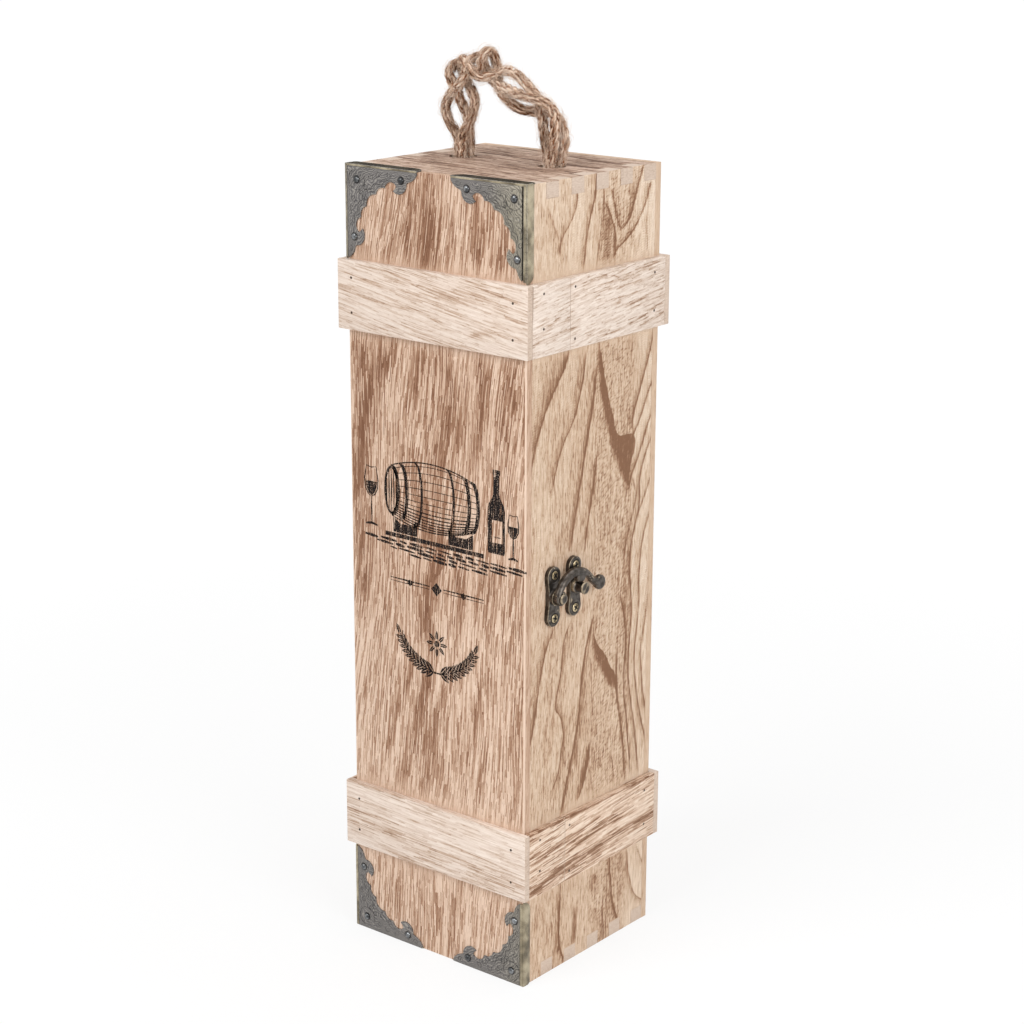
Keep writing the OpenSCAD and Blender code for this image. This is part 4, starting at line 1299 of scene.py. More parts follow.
def smooth_path(points: Sequence[Triple], step: float) -> list[Vector]:
    """A smooth curve through points, with even steps along it."""
    spots = [Vector(p) for p in points]
    spots = [spots[0] * 2 - spots[1], *spots, spots[-1] * 2 - spots[-2]]
    fine = []
    for a, b, c, d in zip(spots, spots[1:], spots[2:], spots[3:]):
        for k in range(20):
            t = k / 20
            fine.append(0.5 * (2 * b + (c - a) * t + (2 * a - 5 * b + 4 * c - d) * t * t
                               + (3 * b - a - 3 * c + d) * t ** 3))
    fine.append(spots[-2])
    even = [fine[0]]
    walked = 0.0
    for a, b in zip(fine, fine[1:]):
        span = (b - a).length
        while walked + span >= step:
            a = a.lerp(b, (step - walked) / span)
            even.append(a)
            span = (b - a).length
            walked = 0.0
        walked += span
    if (even[-1] - fine[-1]).length > step * 0.3:
        even.append(fine[-1])
    return even


# ----------------------------------------------------------------- boards


def notched(low: float, high: float, cuts: Sequence[Point], edge: float, floor: float) -> list[Point]:
    """Points along one edge of a board, from low to high, with its notches.

    Args:
        low: Where the edge starts.
        high: Where the edge ends.
        cuts: Ranges that are notched.
        edge: Place of the edge.
        floor: Place of the notches' floor.
    Returns:
        The points, as (place along the edge, place across it).
    """
    points: list[Point] = []
    at = low
    for start, end in cuts:
        start, end = max(start, low), min(end, high)
        if end - start < 0.01:
            continue
        if start > at + 0.01:
            points += [(at, edge), (start, edge)]
        points += [(start, floor), (end, floor)]
        at = end
    if high > at + 0.01:
        points += [(at, edge), (high, edge)]
    return points


@dataclass(frozen=True)
class Carcass:
    """The boards of the case and the lid, and the slats round them.

    edge, arris: how rounded a board's edges and the front's upright edges are.
    crack: gap at the front end of the one slat that was cut short.
    """

    edge: float = 0.16
    arris: float = 0.55
    crack: float = 0.34

    def side(self, y0: float, y1: float, sign: int, name: str, body: Body, finish: Finish) -> None:
        """Makes a side board with its notches."""
        cuts = PLAN.cuts(odd=False)
        low = notched(y0, y1, cuts, 0, PLAN.board)
        high = notched(y0, y1, cuts, PLAN.height, PLAN.height - PLAN.board)
        shape = Shape()
        inner, outer = PLAN.half - PLAN.board, PLAN.half
        ends = (inner, outer) if sign > 0 else (-outer, -inner)
        shape.prism([*low, *reversed(high)], *ends, Axis.X)
        shape.soften(self.edge, 1)
        shape.repaint(END_WOOD, lambda m, n: abs(n.z) > 0.9 and not 20 < m.z < PLAN.height - 20)
        shape.piece(name, "board", body, finish)

    def end(self, y0: float, y1: float, z0: float, name: str, body: Body, finish: Finish,
            holes: Sequence[Sequence[Point]] = ()) -> None:
        """Makes a top or bottom board with its notches and holes."""
        cuts = PLAN.cuts(odd=True)
        right = [(x, y) for y, x in notched(y0, y1, cuts, PLAN.half, PLAN.half - PLAN.board)]
        left = [(x, y) for y, x in notched(y0, y1, cuts, -PLAN.half, -PLAN.half + PLAN.board)]
        shape = Shape()
        shape.prism([*right, *reversed(left)], z0, z0 + PLAN.board, Axis.Z, holes)
        shape.soften(self.edge, 1)
        shape.repaint(END_WOOD, lambda m, n: abs(n.x) > 0.9 and abs(m.x) > PLAN.half - 1)
        shape.piece(name, "board", body, finish)

    def panel(self, y0: float, y1: float, name: str, body: Body, finish: Finish, let_in: bool) -> None:
        """Makes the front or back panel, with recesses for the lower brackets' folds."""
        half, step, sheet = PLAN.half, PLAN.half - BRACKETS.arm, BRACKETS.sheet
        low, outer = [(-half, 0), (half, 0)], y1
        if let_in:
            low = [(-half, sheet), (-step, sheet), (-step, 0), (step, 0), (step, sheet), (half, sheet)]
            outer = y0
        shape = Shape()
        shape.prism([*low, (half, PLAN.height), (-half, PLAN.height)], y0, y1, Axis.Y)
        shape.soften(self.arris, 3, lambda m: abs(m.y - outer) < 0.01 and abs(abs(m.x) - half) < 0.01)
        shape.soften(self.edge, 1, lambda m: abs(m.y - outer) < 0.01)
        shape.piece(name, "board", body, finish)

    def slat(self, low: Triple, high: Triple, name: str, body: Body, finish: Finish,
             crack: float = 0.0) -> None:
        """Makes one slat with soft edges, and a gap at its front end where it was cut short."""
        shape = Shape()
        if crack:
            z = low[2] + 0.6 * (high[2] - low[2])
            side = [(low[1], low[2]), (high[1], low[2]), (high[1], high[2]),
                    (low[1] + crack, high[2]), (low[1] + crack * 0.8, z), (low[1], z - 3)]
            shape.prism(side, low[0], high[0], Axis.X)
        else:
            shape.box(low, high)
        shape.soften(0.28, 2)
        across = (high[0] - low[0]) < (high[1] - low[1])
        shape.repaint(END_WOOD, lambda m, n: abs(n.y if across else n.x) > 0.9)
        shape.piece(name, "slat", body, finish)

    def build(self) -> None:
        """Makes every board and slat."""
        p = PLAN
        lid_end, case_end = p.seam - p.saw_line, p.seam + p.saw_line
        holes = [circle((x, p.hole_y), p.hole_r, 40) for x in p.hole_xs]
        top = p.height - p.board
        self.panel(p.front, p.frame_front, "front_panel", Body.LID, FRONT_WOOD, True)
        self.panel(p.frame_back, p.back, "back_panel", Body.CASE, BACK_WOOD, False)
        self.side(p.frame_front, lid_end, -1, "lid_left_rail", Body.LID, LEFT_WOOD)
        self.side(p.frame_front, lid_end, 1, "lid_right_rail", Body.LID, RIGHT_WOOD)
        self.side(case_end, p.frame_back, -1, "case_left_wall", Body.CASE, LEFT_WOOD)
        self.side(case_end, p.frame_back, 1, "case_right_wall", Body.CASE, RIGHT_WOOD)
        self.end(p.frame_front, lid_end, top, "lid_top_rail", Body.LID, TOP_WOOD)
        self.end(case_end, p.frame_back, top, "case_top", Body.CASE, TOP_WOOD, holes)
        self.end(p.frame_front, lid_end, 0, "lid_bottom_rail", Body.LID, BASE_WOOD)
        self.end(case_end, p.frame_back, 0, "case_bottom", Body.CASE, BASE_WOOD)
        out = p.half + p.band
        woods = ((LOWER_X_WOOD, LOWER_Y_WOOD), (UPPER_X_WOOD, UPPER_Y_WOOD))
        for level, z0, (along_x, along_y) in zip(("lower", "upper"), p.band_zs, woods):
            z1, band = z0 + p.band_height, f"{level}_band"
            self.slat((-out, p.front - p.band, z0), (out, p.front, z1), f"{band}_front", Body.LID, along_x)
            self.slat((-out, p.back, z0), (out, p.back + p.band, z1), f"{band}_back", Body.CASE, along_x)
            for side, x0 in (("left", -out), ("right", p.half)):
                x1, crack = x0 + p.band, self.crack if (level, side) == ("upper", "right") else 0.0
                self.slat((x0, p.front, z0), (x1, lid_end, z1), f"{band}_lid_{side}", Body.LID,
                          along_y, crack)
                self.slat((x0, case_end, z0), (x1, p.back, z1), f"{band}_case_{side}", Body.CASE, along_y)


@dataclass(frozen=True)
class Brads:
    """The headless brads that hold the slats, as small dark sunk discs."""

    radius: float = 0.6
    edge: float = 8.0

    def _disc(self, shape: Shape, centre: Triple, axis: Axis, sign: float) -> None:
        """Adds one brad whose head is just below the slat's face."""
        r = self.radius
        shape.lathe([(r, -1.2), (r, 0.0), (r * 0.7, 0.05), (0, 0.06)], centre, axis, sign, 14)

    def build(self) -> None:
        """Makes the lid's brads and the case's."""
        p = PLAN
        out_x, out_y = p.half + p.band, p.back + p.band
        lid, case = Shape(), Shape()
        for z0 in p.band_zs:
            for sign in (-1, 1):
                for share in (0.25, 0.75):
                    z = z0 + share * p.band_height
                    self._disc(lid, (sign * (out_x - self.edge), -out_y, z), Axis.Y, -1)
                    self._disc(case, (sign * (out_x - self.edge), out_y, z), Axis.Y, 1)
                for share in (0.38, 0.86):
                    z = z0 + share * p.band_height
                    self._disc(lid, (sign * out_x, p.front + 7.4, z), Axis.X, sign)
                for share in (0.25, 0.8):
                    z = z0 + share * p.band_height
                    self._disc(case, (sign * out_x, p.back - self.edge, z), Axis.X, sign)
            for share in (0.14, 0.86):
                z = z0 + share * p.band_height
                self._disc(case, (out_x, p.seam + 3.2, z), Axis.X, 1)
        lid.piece("lid_band_brads", "heads", Body.LID, BRAD_STEEL)
        case.piece("case_band_brads", "heads", Body.CASE, BRAD_STEEL)


# --------------------------------------------------------------- brackets


def bulged(a: Point, b: Point, rise: float, steps: int = 6) -> list[Point]:
    """Points of an arc from a to b without b, bulging by rise to the right of a-b."""
    dx, dy = b[0] - a[0], b[1] - a[1]
    length = math.hypot(dx, dy)
    radius = (length * length / 4 + rise * rise) / (2 * abs(rise))
    half = math.asin(min(1.0, length / 2 / radius))
    sign = math.copysign(1.0, rise)
    points = []
    for i in range(steps):
        t = -half + 2 * half * i / steps
        along = 0.5 + radius * math.sin(t) / length
        out = sign * (radius * math.cos(t) - (radius - abs(rise))) / length
        points.append((a[0] + dx * along + dy * out, a[1] + dy * along - dx * out))
    return points


@dataclass(frozen=True)
class Brackets:
    """The four scalloped corner brackets, their engraving and their nails.

    lips: width of the strip of fold beside the face, on the left and the right,
    which carries a painted highlight. groove, wide_groove: width of the groove
    beside it, with painted shade on its floor; only the one at the top right is
    wide. scallops: corners of one arm's edge, each with the rise of the arc that
    follows it. middle: depth of the arc between the arms.
    """

    arm: float = 41.0
    sheet: float = 0.6
    fold: float = 4.0
    top_fold: float = 6.0
    lips: Point = (0.7, 1.5)
    groove: float = 0.15
    wide_groove: float = 0.85
    nail_r: float = 1.5
    nail_places: tuple[Point, ...] = ((6.3, 6), (31.8, 4.3), (4.6, 31))
    scallops: tuple[tuple[Point, float], ...] = (
        ((41, 0), 0.9), ((36.2, 4.7), 0), ((34.8, 5.4), 2.9), ((27, 9.2), -0.3),
        ((28.9, 6.9), -2.2), ((22.3, 8.4), -1.3), ((17.2, 11.6), 0))
    middle: float = 1.9

    def edge(self) -> list[Point]:
        """The scalloped edge from the tip of one arm to the tip of the other."""
        half: list[Point] = []
        for (a, rise), (b, _) in zip(self.scallops, self.scallops[1:]):
            half += bulged(a, b, rise) if rise else [a]
        cusp = self.scallops[-1][0]
        mirror = (cusp[1], cusp[0])
        return [*half, *bulged(cusp, mirror, -self.middle), mirror, *[(v, u) for u, v in reversed(half)]]

    def _edge_to(self, side: float) -> list[Point]:
        """The scalloped edge from its second point to where it comes as near the corner as side."""
        points = self.edge()[1:]
        for i, ((u, w), (beyond, level)) in enumerate(zip(points, points[1:])):
            if beyond < side:
                return [*points[:i + 1], (side, w + (level - w) * (u - side) / (u - beyond))]
        return points

    def place(self, sign: int, top: bool) -> Callable[[float, float, float], Triple]:
        """A function from (along one arm, into the box, along the other) to a place on the box."""
        x0, z0, up = sign * PLAN.half, PLAN.height if top else 0.0, -1 if top else 1
        return lambda u, v, w: (x0 - sign * u, PLAN.front + v, z0 + up * w)

    def _fold_outline(self, start: float, front: float, w: float) -> list[Point]:
        """Outline of a folded edge: along the arm, and into the box."""
        arm = self.arm
        return [(start, front), (start, w - 1), (start + 1, w), (arm - w, w),
                *around((arm - w, 0), w, 80, 0, 7), (arm, front * 0.5), (arm - 0.6, front)]

    def _map(self, shape: Shape, at: Callable[[float, float, float], Triple]) -> None:
        """Carries a shape made at the origin to its corner."""
        for vert in shape.bm.verts:
            vert.co = Vector(at(*vert.co))
        bmesh.ops.recalc_face_normals(shape.bm, faces=shape.bm.faces)

    def sheet_piece(self, node: str, sign: int, top: bool) -> None:
        """Makes one bracket: its face, its two folds, their lips with a painted highlight, the groove's
        painted shade and the engraving.
        """
        t, arm = self.sheet, self.arm
        under = -t if top else 0.0
        lip = self.lips[sign > 0]
        groove = self.wide_groove if sign > 0 and top else self.groove
        floor = 0.5 if top else 0.0
        shape = Shape()
        outline = [(lip + groove, floor), (arm - 0.5, floor), *self._edge_to(lip + groove)]
        shape.prism(outline, -t, 0, Axis.Y, finish=SHEET)
        shape.soften(0.16, 2)
        # painted shade: a near-black floor in the groove beside the lip
        shape.box((lip - 0.2, -t * 0.2, floor), (lip + groove + 0.1, 0, arm - 1.6), RECESS_SHADE)
        # the lips and folds take the fold finish, paler as a painted highlight
        parts = shape.box((0.0, -t, 0.0), (lip, 0, arm - 0.9), FOLD_HIGHLIGHT)
        parts += shape.box((0.0, -t, under), (arm - 0.5, 0, floor + 0.02), FOLD_HIGHLIGHT)
        parts += shape.prism([(v, u) for u, v in self._fold_outline(under, -t * 0.8, self.fold)],
                             -t, 0.02, Axis.X, finish=FOLD_HIGHLIGHT)
        # the top brackets' upper folds take the darker copy: painted shade
        level = self._fold_outline(-t * 0.3, -t * 0.8, self.top_fold if top else self.fold)
        parts += shape.prism(level, under, under + t, Axis.Z, finish=SHADED_FOLD if top else FOLD_HIGHLIGHT)
        edges = {e for f in parts if f.is_valid for e in f.edges if e.calc_face_angle(0) > SHARP}
        shape.bevel(list(edges), 0.16, 2)
        self._engrave(shape, t)
        self._map(shape, self.place(sign, top))
        shape.piece(node, "sheet", Body.LID, SHEET)

    def _engrave(self, shape: Shape, proud: float) -> None:
        """Adds the engraved lines: edge lines, a ring round the corner nail and scrolls."""
        y = -proud - 0.01

        def draw(points: Sequence[Point], r: float = 0.1) -> None:
            """Adds one thin line on the face."""
            shape.tube(smooth_path([(u, y, w) for u, w in points], 0.4), r, 4, ENGRAVING_AND_SHADE)

        def inset(points: Sequence[Point], by: float) -> list[Point]:
            """Moves a line from the scalloped edge towards the corner."""
            moved = []
            for u, w in points:
                far = max(6.0, math.hypot(u, w))
                moved.append((max(2.3, u - by * (u + 6) / far), max(1.1, w - by * (w + 6) / far)))
            return moved

        edge = self.edge()
        inner = [p for p in edge if p[0] + p[1] < 33.5]
        draw(inset(inner, 1.1), 0.09)
        draw(inset(inner, 2.3), 0.11)
        draw(around(self.nail_places[0], 4.6, -20, 250, 20), 0.11)
        for u, w, turn, hand in ((14.2, 4.6, 0.4, 1), (19.2, 3.1, 2.4, -1), (25.4, 2.9, 4.0, 1),
                                 (36.6, 2.0, 3.2, 1), (11.6, 8.6, 1.0, -1)):
            curl = [(u + (0.3 + 0.15 * i) * math.cos(turn + hand * i * 0.7),
                     w + (0.3 + 0.15 * i) * math.sin(turn + hand * i * 0.7)) for i in range(10)]
            draw(curl, 0.09)
            draw([(max(2.4, b), a) for a, b in curl], 0.09)

    def build(self) -> None:
        """Makes the brackets and their nails."""
        nails = Shape()
        r = self.nail_r
        dome = [(r, 0), *[(r * math.cos(math.radians(a)), 0.12 + 0.88 * math.sin(math.radians(a)))
                          for a in range(0, 90, 15)], (0, 1.0)]
        for sign, side in ((-1, "left"), (1, "right")):
            for top, level in ((True, "top"), (False, "bottom")):
                self.sheet_piece(f"bracket_{level}_{side}", sign, top)
                at = self.place(sign, top)
                for u, w in self.nail_places:
                    nails.lathe(dome, at(u, -self.sheet, w), Axis.Y, -1, 24)
                    # painted shade: a dark ring round each nail head, in the engraving's finish
                    nails.lathe([(r + 0.42, -0.05), (r + 0.42, 0.04), (r - 0.1, 0.08)],
                                at(u, -self.sheet, w), Axis.Y, -1, 24, ENGRAVING_AND_SHADE)
        nails.piece("bracket_nails", "domes", Body.LID, NAIL_STEEL)


BRACKETS = Brackets()


# ------------------------------------------------------------------ latch


def cast(shape: Shape, node: str, body: Body, voxel: float) -> None:
    """Melts overlapping closed forms into one bronze casting with soft edges.

    Args:
        shape: The forms.
        node: The node that the casting stands for.
        body: The body that it rides on.
        voxel: Size of the melt, in millimetres.
    """
    mesh = bpy.data.meshes.new(node)
    shape.bm.to_mesh(mesh)
    shape.bm.free()
    rough = bpy.data.objects.new(node + "_melt", mesh)
    bpy.context.scene.collection.objects.link(rough)
    melt = rough.modifiers.new("melt", "REMESH")
    melt.mode, melt.voxel_size = "VOXEL", voxel
    ease = rough.modifiers.new("ease", "SMOOTH")
    ease.factor, ease.iterations = 0.5, 3
    rough.modifiers.new("fewer", "DECIMATE").ratio = 0.35
    graph = bpy.context.evaluated_depsgraph_get()
    made = bpy.data.meshes.new_from_object(rough.evaluated_get(graph))
    bpy.data.objects.remove(rough)
    made.name = f"{node}_casting"
    made.transform(Matrix.Scale(MM, 4))
    made.materials.clear()
    settle(made, node, body, [BRONZE], 60)


@dataclass(frozen=True)
class Latch:
    """The hook, its plate and rivet, and the catch with its stud and screws."""

    pivot: Point = (-29.4, 180)
    catch: Point = (-14.6, 181.3)
    stud_z: float = 181.5
    plate_w: float = 8.8
    plate_h: float = 27.2
    plate_t: float = 2.4
    boss_t: float = 1.5
    hook_x: float = 54.1
    hook_t: float = 3.0
    head_x: float = 57.3
    end_x: float = 58.1
    screw_dz: float = 9.8

    def _plate(self, shape: Shape, centre: Point) -> None:
        """Adds a cast plate: round ends, a narrower waist and a rim round each screw."""
        y0, z0 = centre
        x0 = PLAN.half
        r = self.plate_w / 2
        dz = (self.plate_h - self.plate_w) / 2
        waist = 0.82 * r
        outline = [*around((y0, z0 + dz), r, -10, 190, 18),
                   (y0 - waist, z0 + dz * 0.35), (y0 - waist, z0 - dz * 0.35),
                   *around((y0, z0 - dz), r, 170, 370, 18),
                   (y0 + waist, z0 - dz * 0.35), (y0 + waist, z0 + dz * 0.35)]
        shape.prism(outline, x0, x0 + self.plate_t - 0.25, Axis.X)
        for s in (-1, 1):
            centre3 = (x0 + self.plate_t - 0.3, y0, z0 + s * self.screw_dz)
            shape.lathe([(3.5, -1), (3.5, 0.1), (3.2, 0.3), (2.6, 0.3), (2.3, -0.15), (0, -0.15)],
                        centre3, Axis.X, 1, 28)

    def _screw(self, shape: Shape, y: float, z: float, turn: float) -> None:
        """Adds a raised cross-head screw."""
        x0 = PLAN.half + self.plate_t - 0.35
        shape.lathe([(1.95, 0), (1.95, 0.4), (1.75, 0.62), (1.0, 0.72), (0.0, 0.74)],
                    (x0, y, z), Axis.X, 1, 28)
        # painted shade: a dark cross for the recess and a dark ring round the head
        shape.cross((y, z), turn, 1.35, 0.4, (x0 + 0.4, x0 + 0.79))
        shape.lathe([(2.5, 0), (2.5, 0.2), (1.9, 0.22)], (x0 + 0.1, y, z), Axis.X, 1, 28, RECESS_SHADE)

    def _arm(self, narrow: float) -> list[Point]:
        """Outline of the hook's arm, from its hub over the stud to its finger disc.

        Args:
            narrow: How much narrower than the arm's foot it is on each side.
        Returns:
            The outline, relative to the pivot.
        """
        centre, mid = (10.9, -4.5), 13.9
        outer, inner = [], []
        for i in range(27):
            share = i / 26
            half = 1.45 + 0.55 * math.sin(math.pi * min(1.0, share * 1.15)) - narrow
            a = math.radians(156 - 122 * share)
            for side, line in ((1, outer), (-1, inner)):
                r = mid + side * half
                line.append((centre[0] + r * math.cos(a), centre[1] + r * math.sin(a)))
        tip = [(26.8, 3.4 - narrow), (25.4, -0.9 + narrow)]
        return [*outer, *tip, *reversed(inner)]

    def build(self) -> None:
        """Makes the latch's pieces."""
        y0, z0 = self.pivot
        face_x = PLAN.half + self.plate_t
        plate = Shape()
        self._plate(plate, self.pivot)
        plate.lathe([(3.6, -1), (3.6, self.boss_t)], (face_x, y0, z0), Axis.X, 1, 32)
        cast(plate, "hook_plate", Body.LID, 0.16)
        rivet = Shape()
        rise = ((2.2, 0.1), (2.35, 0.4), (2.2, 0.7), (1.8, 0.9), (1.3, 0.98), (0.7, 1.03), (0, 1.05))
        rivet.lathe([(1.5, 0), (1.5, self.hook_t - 0.1), *((r, self.hook_t + up) for r, up in rise)],
                    (self.hook_x - 0.15, y0, z0), Axis.X, 1, 32)
        rivet.piece("hook_rivet", "head", Body.LID, BRONZE)
        self._hook()
        yc, zc = self.catch
        catch = Shape()
        self._plate(catch, self.catch)
        cast(catch, "catch_plate", Body.CASE, 0.16)
        stud = Shape()
        neck = self.head_x - face_x
        end = self.end_x - face_x
        stud.lathe([(3.1, -0.4), (3.1, 0.9), (2.9, 1.3), (2.5, 1.6),
                    *((2.44, 1.6 + (neck - 1.9) * k / 6) for k in range(1, 6)),
                    (2.46, neck - 0.3), (2.7, neck), (2.9, neck + 0.3), (2.86, end - 0.3),
                    (2.7, end - 0.06), (2.3, end), (1.7, end + 0.01), (1.0, end + 0.02), (0, end + 0.03)],
                   (face_x, yc, self.stud_z), Axis.X, 1, 36)
        stud.piece("catch_stud", "turned", Body.CASE, BRONZE, 40)
        for name, centre, body, turns in (
                ("hook_plate_screws", self.pivot, Body.LID, (38, 70)),
                ("catch_plate_screws", self.catch, Body.CASE, (12, 52))):
            screws = Shape()
            for s, turn in zip((1, -1), turns):
                self._screw(screws, centre[0], centre[1] + s * self.screw_dz, turn)
            screws.piece(name, "heads", body, SCREW_BRASS)

    def _hook(self) -> None:
        """Makes the swing hook."""
        y0, z0 = self.pivot
        hook = Shape()
        x0 = self.hook_x
        rows = []
        for x, narrow in ((0.1, 0.0), (1.7, 0.0), (2.5, 0.55), (3.0, 1.15)):
            rows.append([(x0 + x, y0 + u, z0 + v) for u, v in self._arm(narrow)])
        hook.loft(rows)
        t = self.hook_t
        hub = [(3.3, 0.05), (3.3, t - 0.9), (2.9, t - 0.3), (2.0, t - 0.2)]
        heel = [(3.0, 0.1), (3.0, t - 0.8), (2.5, t - 0.3)]
        finger = [(2.9, 0.1), (3.3, 0.7), (3.35, t - 0.8), (2.9, t - 0.15), (2.2, t), (0, t - 0.1)]
        for profile, dy, dz, sides in ((hub, 0, 0, 36), (heel, 14, 7, 32), (finger, 27.6, 0.8, 36)):
            hook.lathe(profile, (x0, y0 + dy, z0 + dz), Axis.X, 1, sides)
        cast(hook, "latch_hook", Body.HOOK, 0.14)


# ----------------------------------------------------------------- hinges


@dataclass(frozen=True)
class Hinges:
    """Two butt hinges on the left-hand bands, with their pins and screws."""

    height: float = 22.0
    leaf: float = 16.0
    corner: float = 1.6
    sheet: float = 1.0
    barrel: float = 2.4
    gap: float = 0.15

    def _leaf(self, node: str, z0: float, sign: int, thirds: Sequence[int], body: Body) -> None:
        """Makes one leaf with its knuckles."""
        x = -(PLAN.half + PLAN.band + self.barrel)
        shape = Shape()
        near = PLAN.seam + sign * (self.barrel + 0.3)
        r, top, out = self.corner, z0 + self.height, 90 - sign * 90
        corner = PLAN.seam + sign * (self.leaf - r)
        outline = [(near, z0), (near, top), *around((corner, top - r), r, 90, out, 6),
                   *around((corner, z0 + r), r, out, out - sign * 90, 6)]
        plate_x = x + self.barrel - self.sheet
        shape.prism(outline, plate_x, plate_x + self.sheet, Axis.X)
        third = self.height / 3
        for k in thirds:
            low = z0 + k * third + (self.gap if k else 0)
            high = z0 + (k + 1) * third - (self.gap if k < 2 else 0)
            shape.lathe([(self.barrel - 0.2, 0), (self.barrel, 0.2), (self.barrel, high - low - 0.2),
                         (self.barrel - 0.2, high - low)], (x, PLAN.seam, low), Axis.Z, 1, 32)
            inner = sorted((PLAN.seam, near))
            shape.box((plate_x, inner[0], low), (plate_x + self.sheet, inner[1], high))
        shape.soften(0.12, 2)
        shape.piece(node, "plate", body, HINGE_BRASS)

    def build(self) -> None:
        """Makes the leaves, pins and screws."""
        p = PLAN
        zs = [z0 + (p.band_height - self.height) / 2 for z0 in p.band_zs]
        x = -(p.half + p.band + self.barrel)
        pins, case_screws, lid_screws = Shape(), Shape(), Shape()
        for level, z0 in zip(("lower", "upper"), zs):
            self._leaf(f"{level}_hinge_case_leaf", z0, 1, (0, 2), Body.CASE)
            self._leaf(f"{level}_hinge_lid_leaf", z0, -1, (1,), Body.LID)
            h = self.height
            pins.lathe([(1.2, -0.55), (2.0, -0.4), (2.0, 0), (1.2, 0.1), (1.2, h - 0.1), (2.0, h),
                        (2.0, h + 0.4), (1.2, h + 0.55), (0, h + 0.6)], (x, p.seam, z0), Axis.Z, 1, 28)
            for sign, shape in ((1, case_screws), (-1, lid_screws)):
                for share, turn in ((0.24, 20), (0.76, 65)):
                    y = p.seam + sign * 0.66 * self.leaf
                    centre = (x + self.barrel - self.sheet, y, z0 + share * h)
                    shape.lathe([(2.0, 0), (1.9, 0.3), (1.2, 0.6), (0, 0.68)], centre, Axis.X, -1, 24)
                    # painted shade: a dark cross for the recess
                    shape.cross(centre[1:], turn, 1.1, 0.25, (centre[0] - 0.7, centre[0] - 0.4))
        pins.piece("hinge_pins", "turned", Body.CASE, HINGE_BRASS)
        case_screws.piece("case_hinge_screws", "heads", Body.CASE, HINGE_BRASS)
        lid_screws.piece("lid_hinge_screws", "heads", Body.LID, HINGE_BRASS)


# ------------------------------------------------------------------- rope

STRAND_ROUTES: tuple[tuple[Triple, ...], ...] = (
    ((-30.5, 6, 345), (-30.5, 6, 353), (-30.5, 6, 361), (-33, 7, 369), (-37, 6, 375),
     (-38, 5, 381), (-34, 4, 387), (-28, 2.5, 391.5), (-23.5, 1.5, 396),
     (-22, 3, 402), (-20.5, 7.5, 403), (-18, 9.5, 398), (-12.5, 8, 393.5),
     (-5, 5.5, 391.5), (4, 2.5, 390), (12, 1.5, 389), (19, 2.5, 387.5),
     (24, 3.5, 383.5), (25.5, 2.5, 377), (24.5, 2.5, 369), (23, 2.5, 361),
     (23, 2.5, 353), (23, 2.5, 345)),
    ((-27, 2.5, 345), (-27, 2.5, 353), (-27, 2.5, 361), (-25.5, 2.5, 370),
     (-20.5, 2, 378), (-20, 3.5, 385), (-24.5, 6, 390), (-30, 8.5, 394),
     (-30.5, 7, 400), (-26, 3.5, 402.5), (-21, 1.5, 399), (-16, 3, 395.5),
     (-11.5, 7, 397), (-6, 8.5, 398.5), (1, 7, 397), (8, 6, 393), (13.5, 6.5, 387),
     (14.5, 7.5, 380), (16, 7, 373), (18.5, 6, 366), (19.5, 6, 359),
     (19.5, 6, 352), (19.5, 6, 345)),
    ((-26, 7, 345), (-26, 7, 353), (-26, 7, 361), (-26.5, 8, 369), (-28, 8, 377),
     (-30, 6, 384), (-30.5, 3, 390.5), (-34, 3, 396), (-33, 7, 400),
     (-27.5, 9.5, 398), (-21, 7, 396.5), (-16, 3, 400), (-14, 3, 406),
     (-13, 7.5, 405.5), (-12, 9.5, 399), (-10, 7.5, 392.5), (-4, 5, 387.5),
     (3.5, 5, 383.5), (10, 8.5, 382), (17, 10, 382), (23.5, 9, 378.5),
     (27, 7, 372), (25.5, 7.5, 365), (24, 7, 359), (24, 7, 352), (24, 7, 345)),
)


@dataclass(frozen=True)
class Fibres:
    """One kind of loose fibre on a strand.

    reach: how long they are. rise: how far they stand off. sway: how far they
    turn round the strand. thick: how thick they are.
    """

    count: int
    reach: float
    seed: int
    rise: float = 2.1
    sway: float = 1.1
    thick: float = 1.0
    finish: Finish = JUTE_HAIR


FIBRES = (
    Fibres(1900, 1.15, 20),
    Fibres(500, 1.5, 40, 0.3, 2.6, 1.6, DARK_JUTE),
    Fibres(800, 1.5, 60, 0.35, 2.6, 1.4),
)


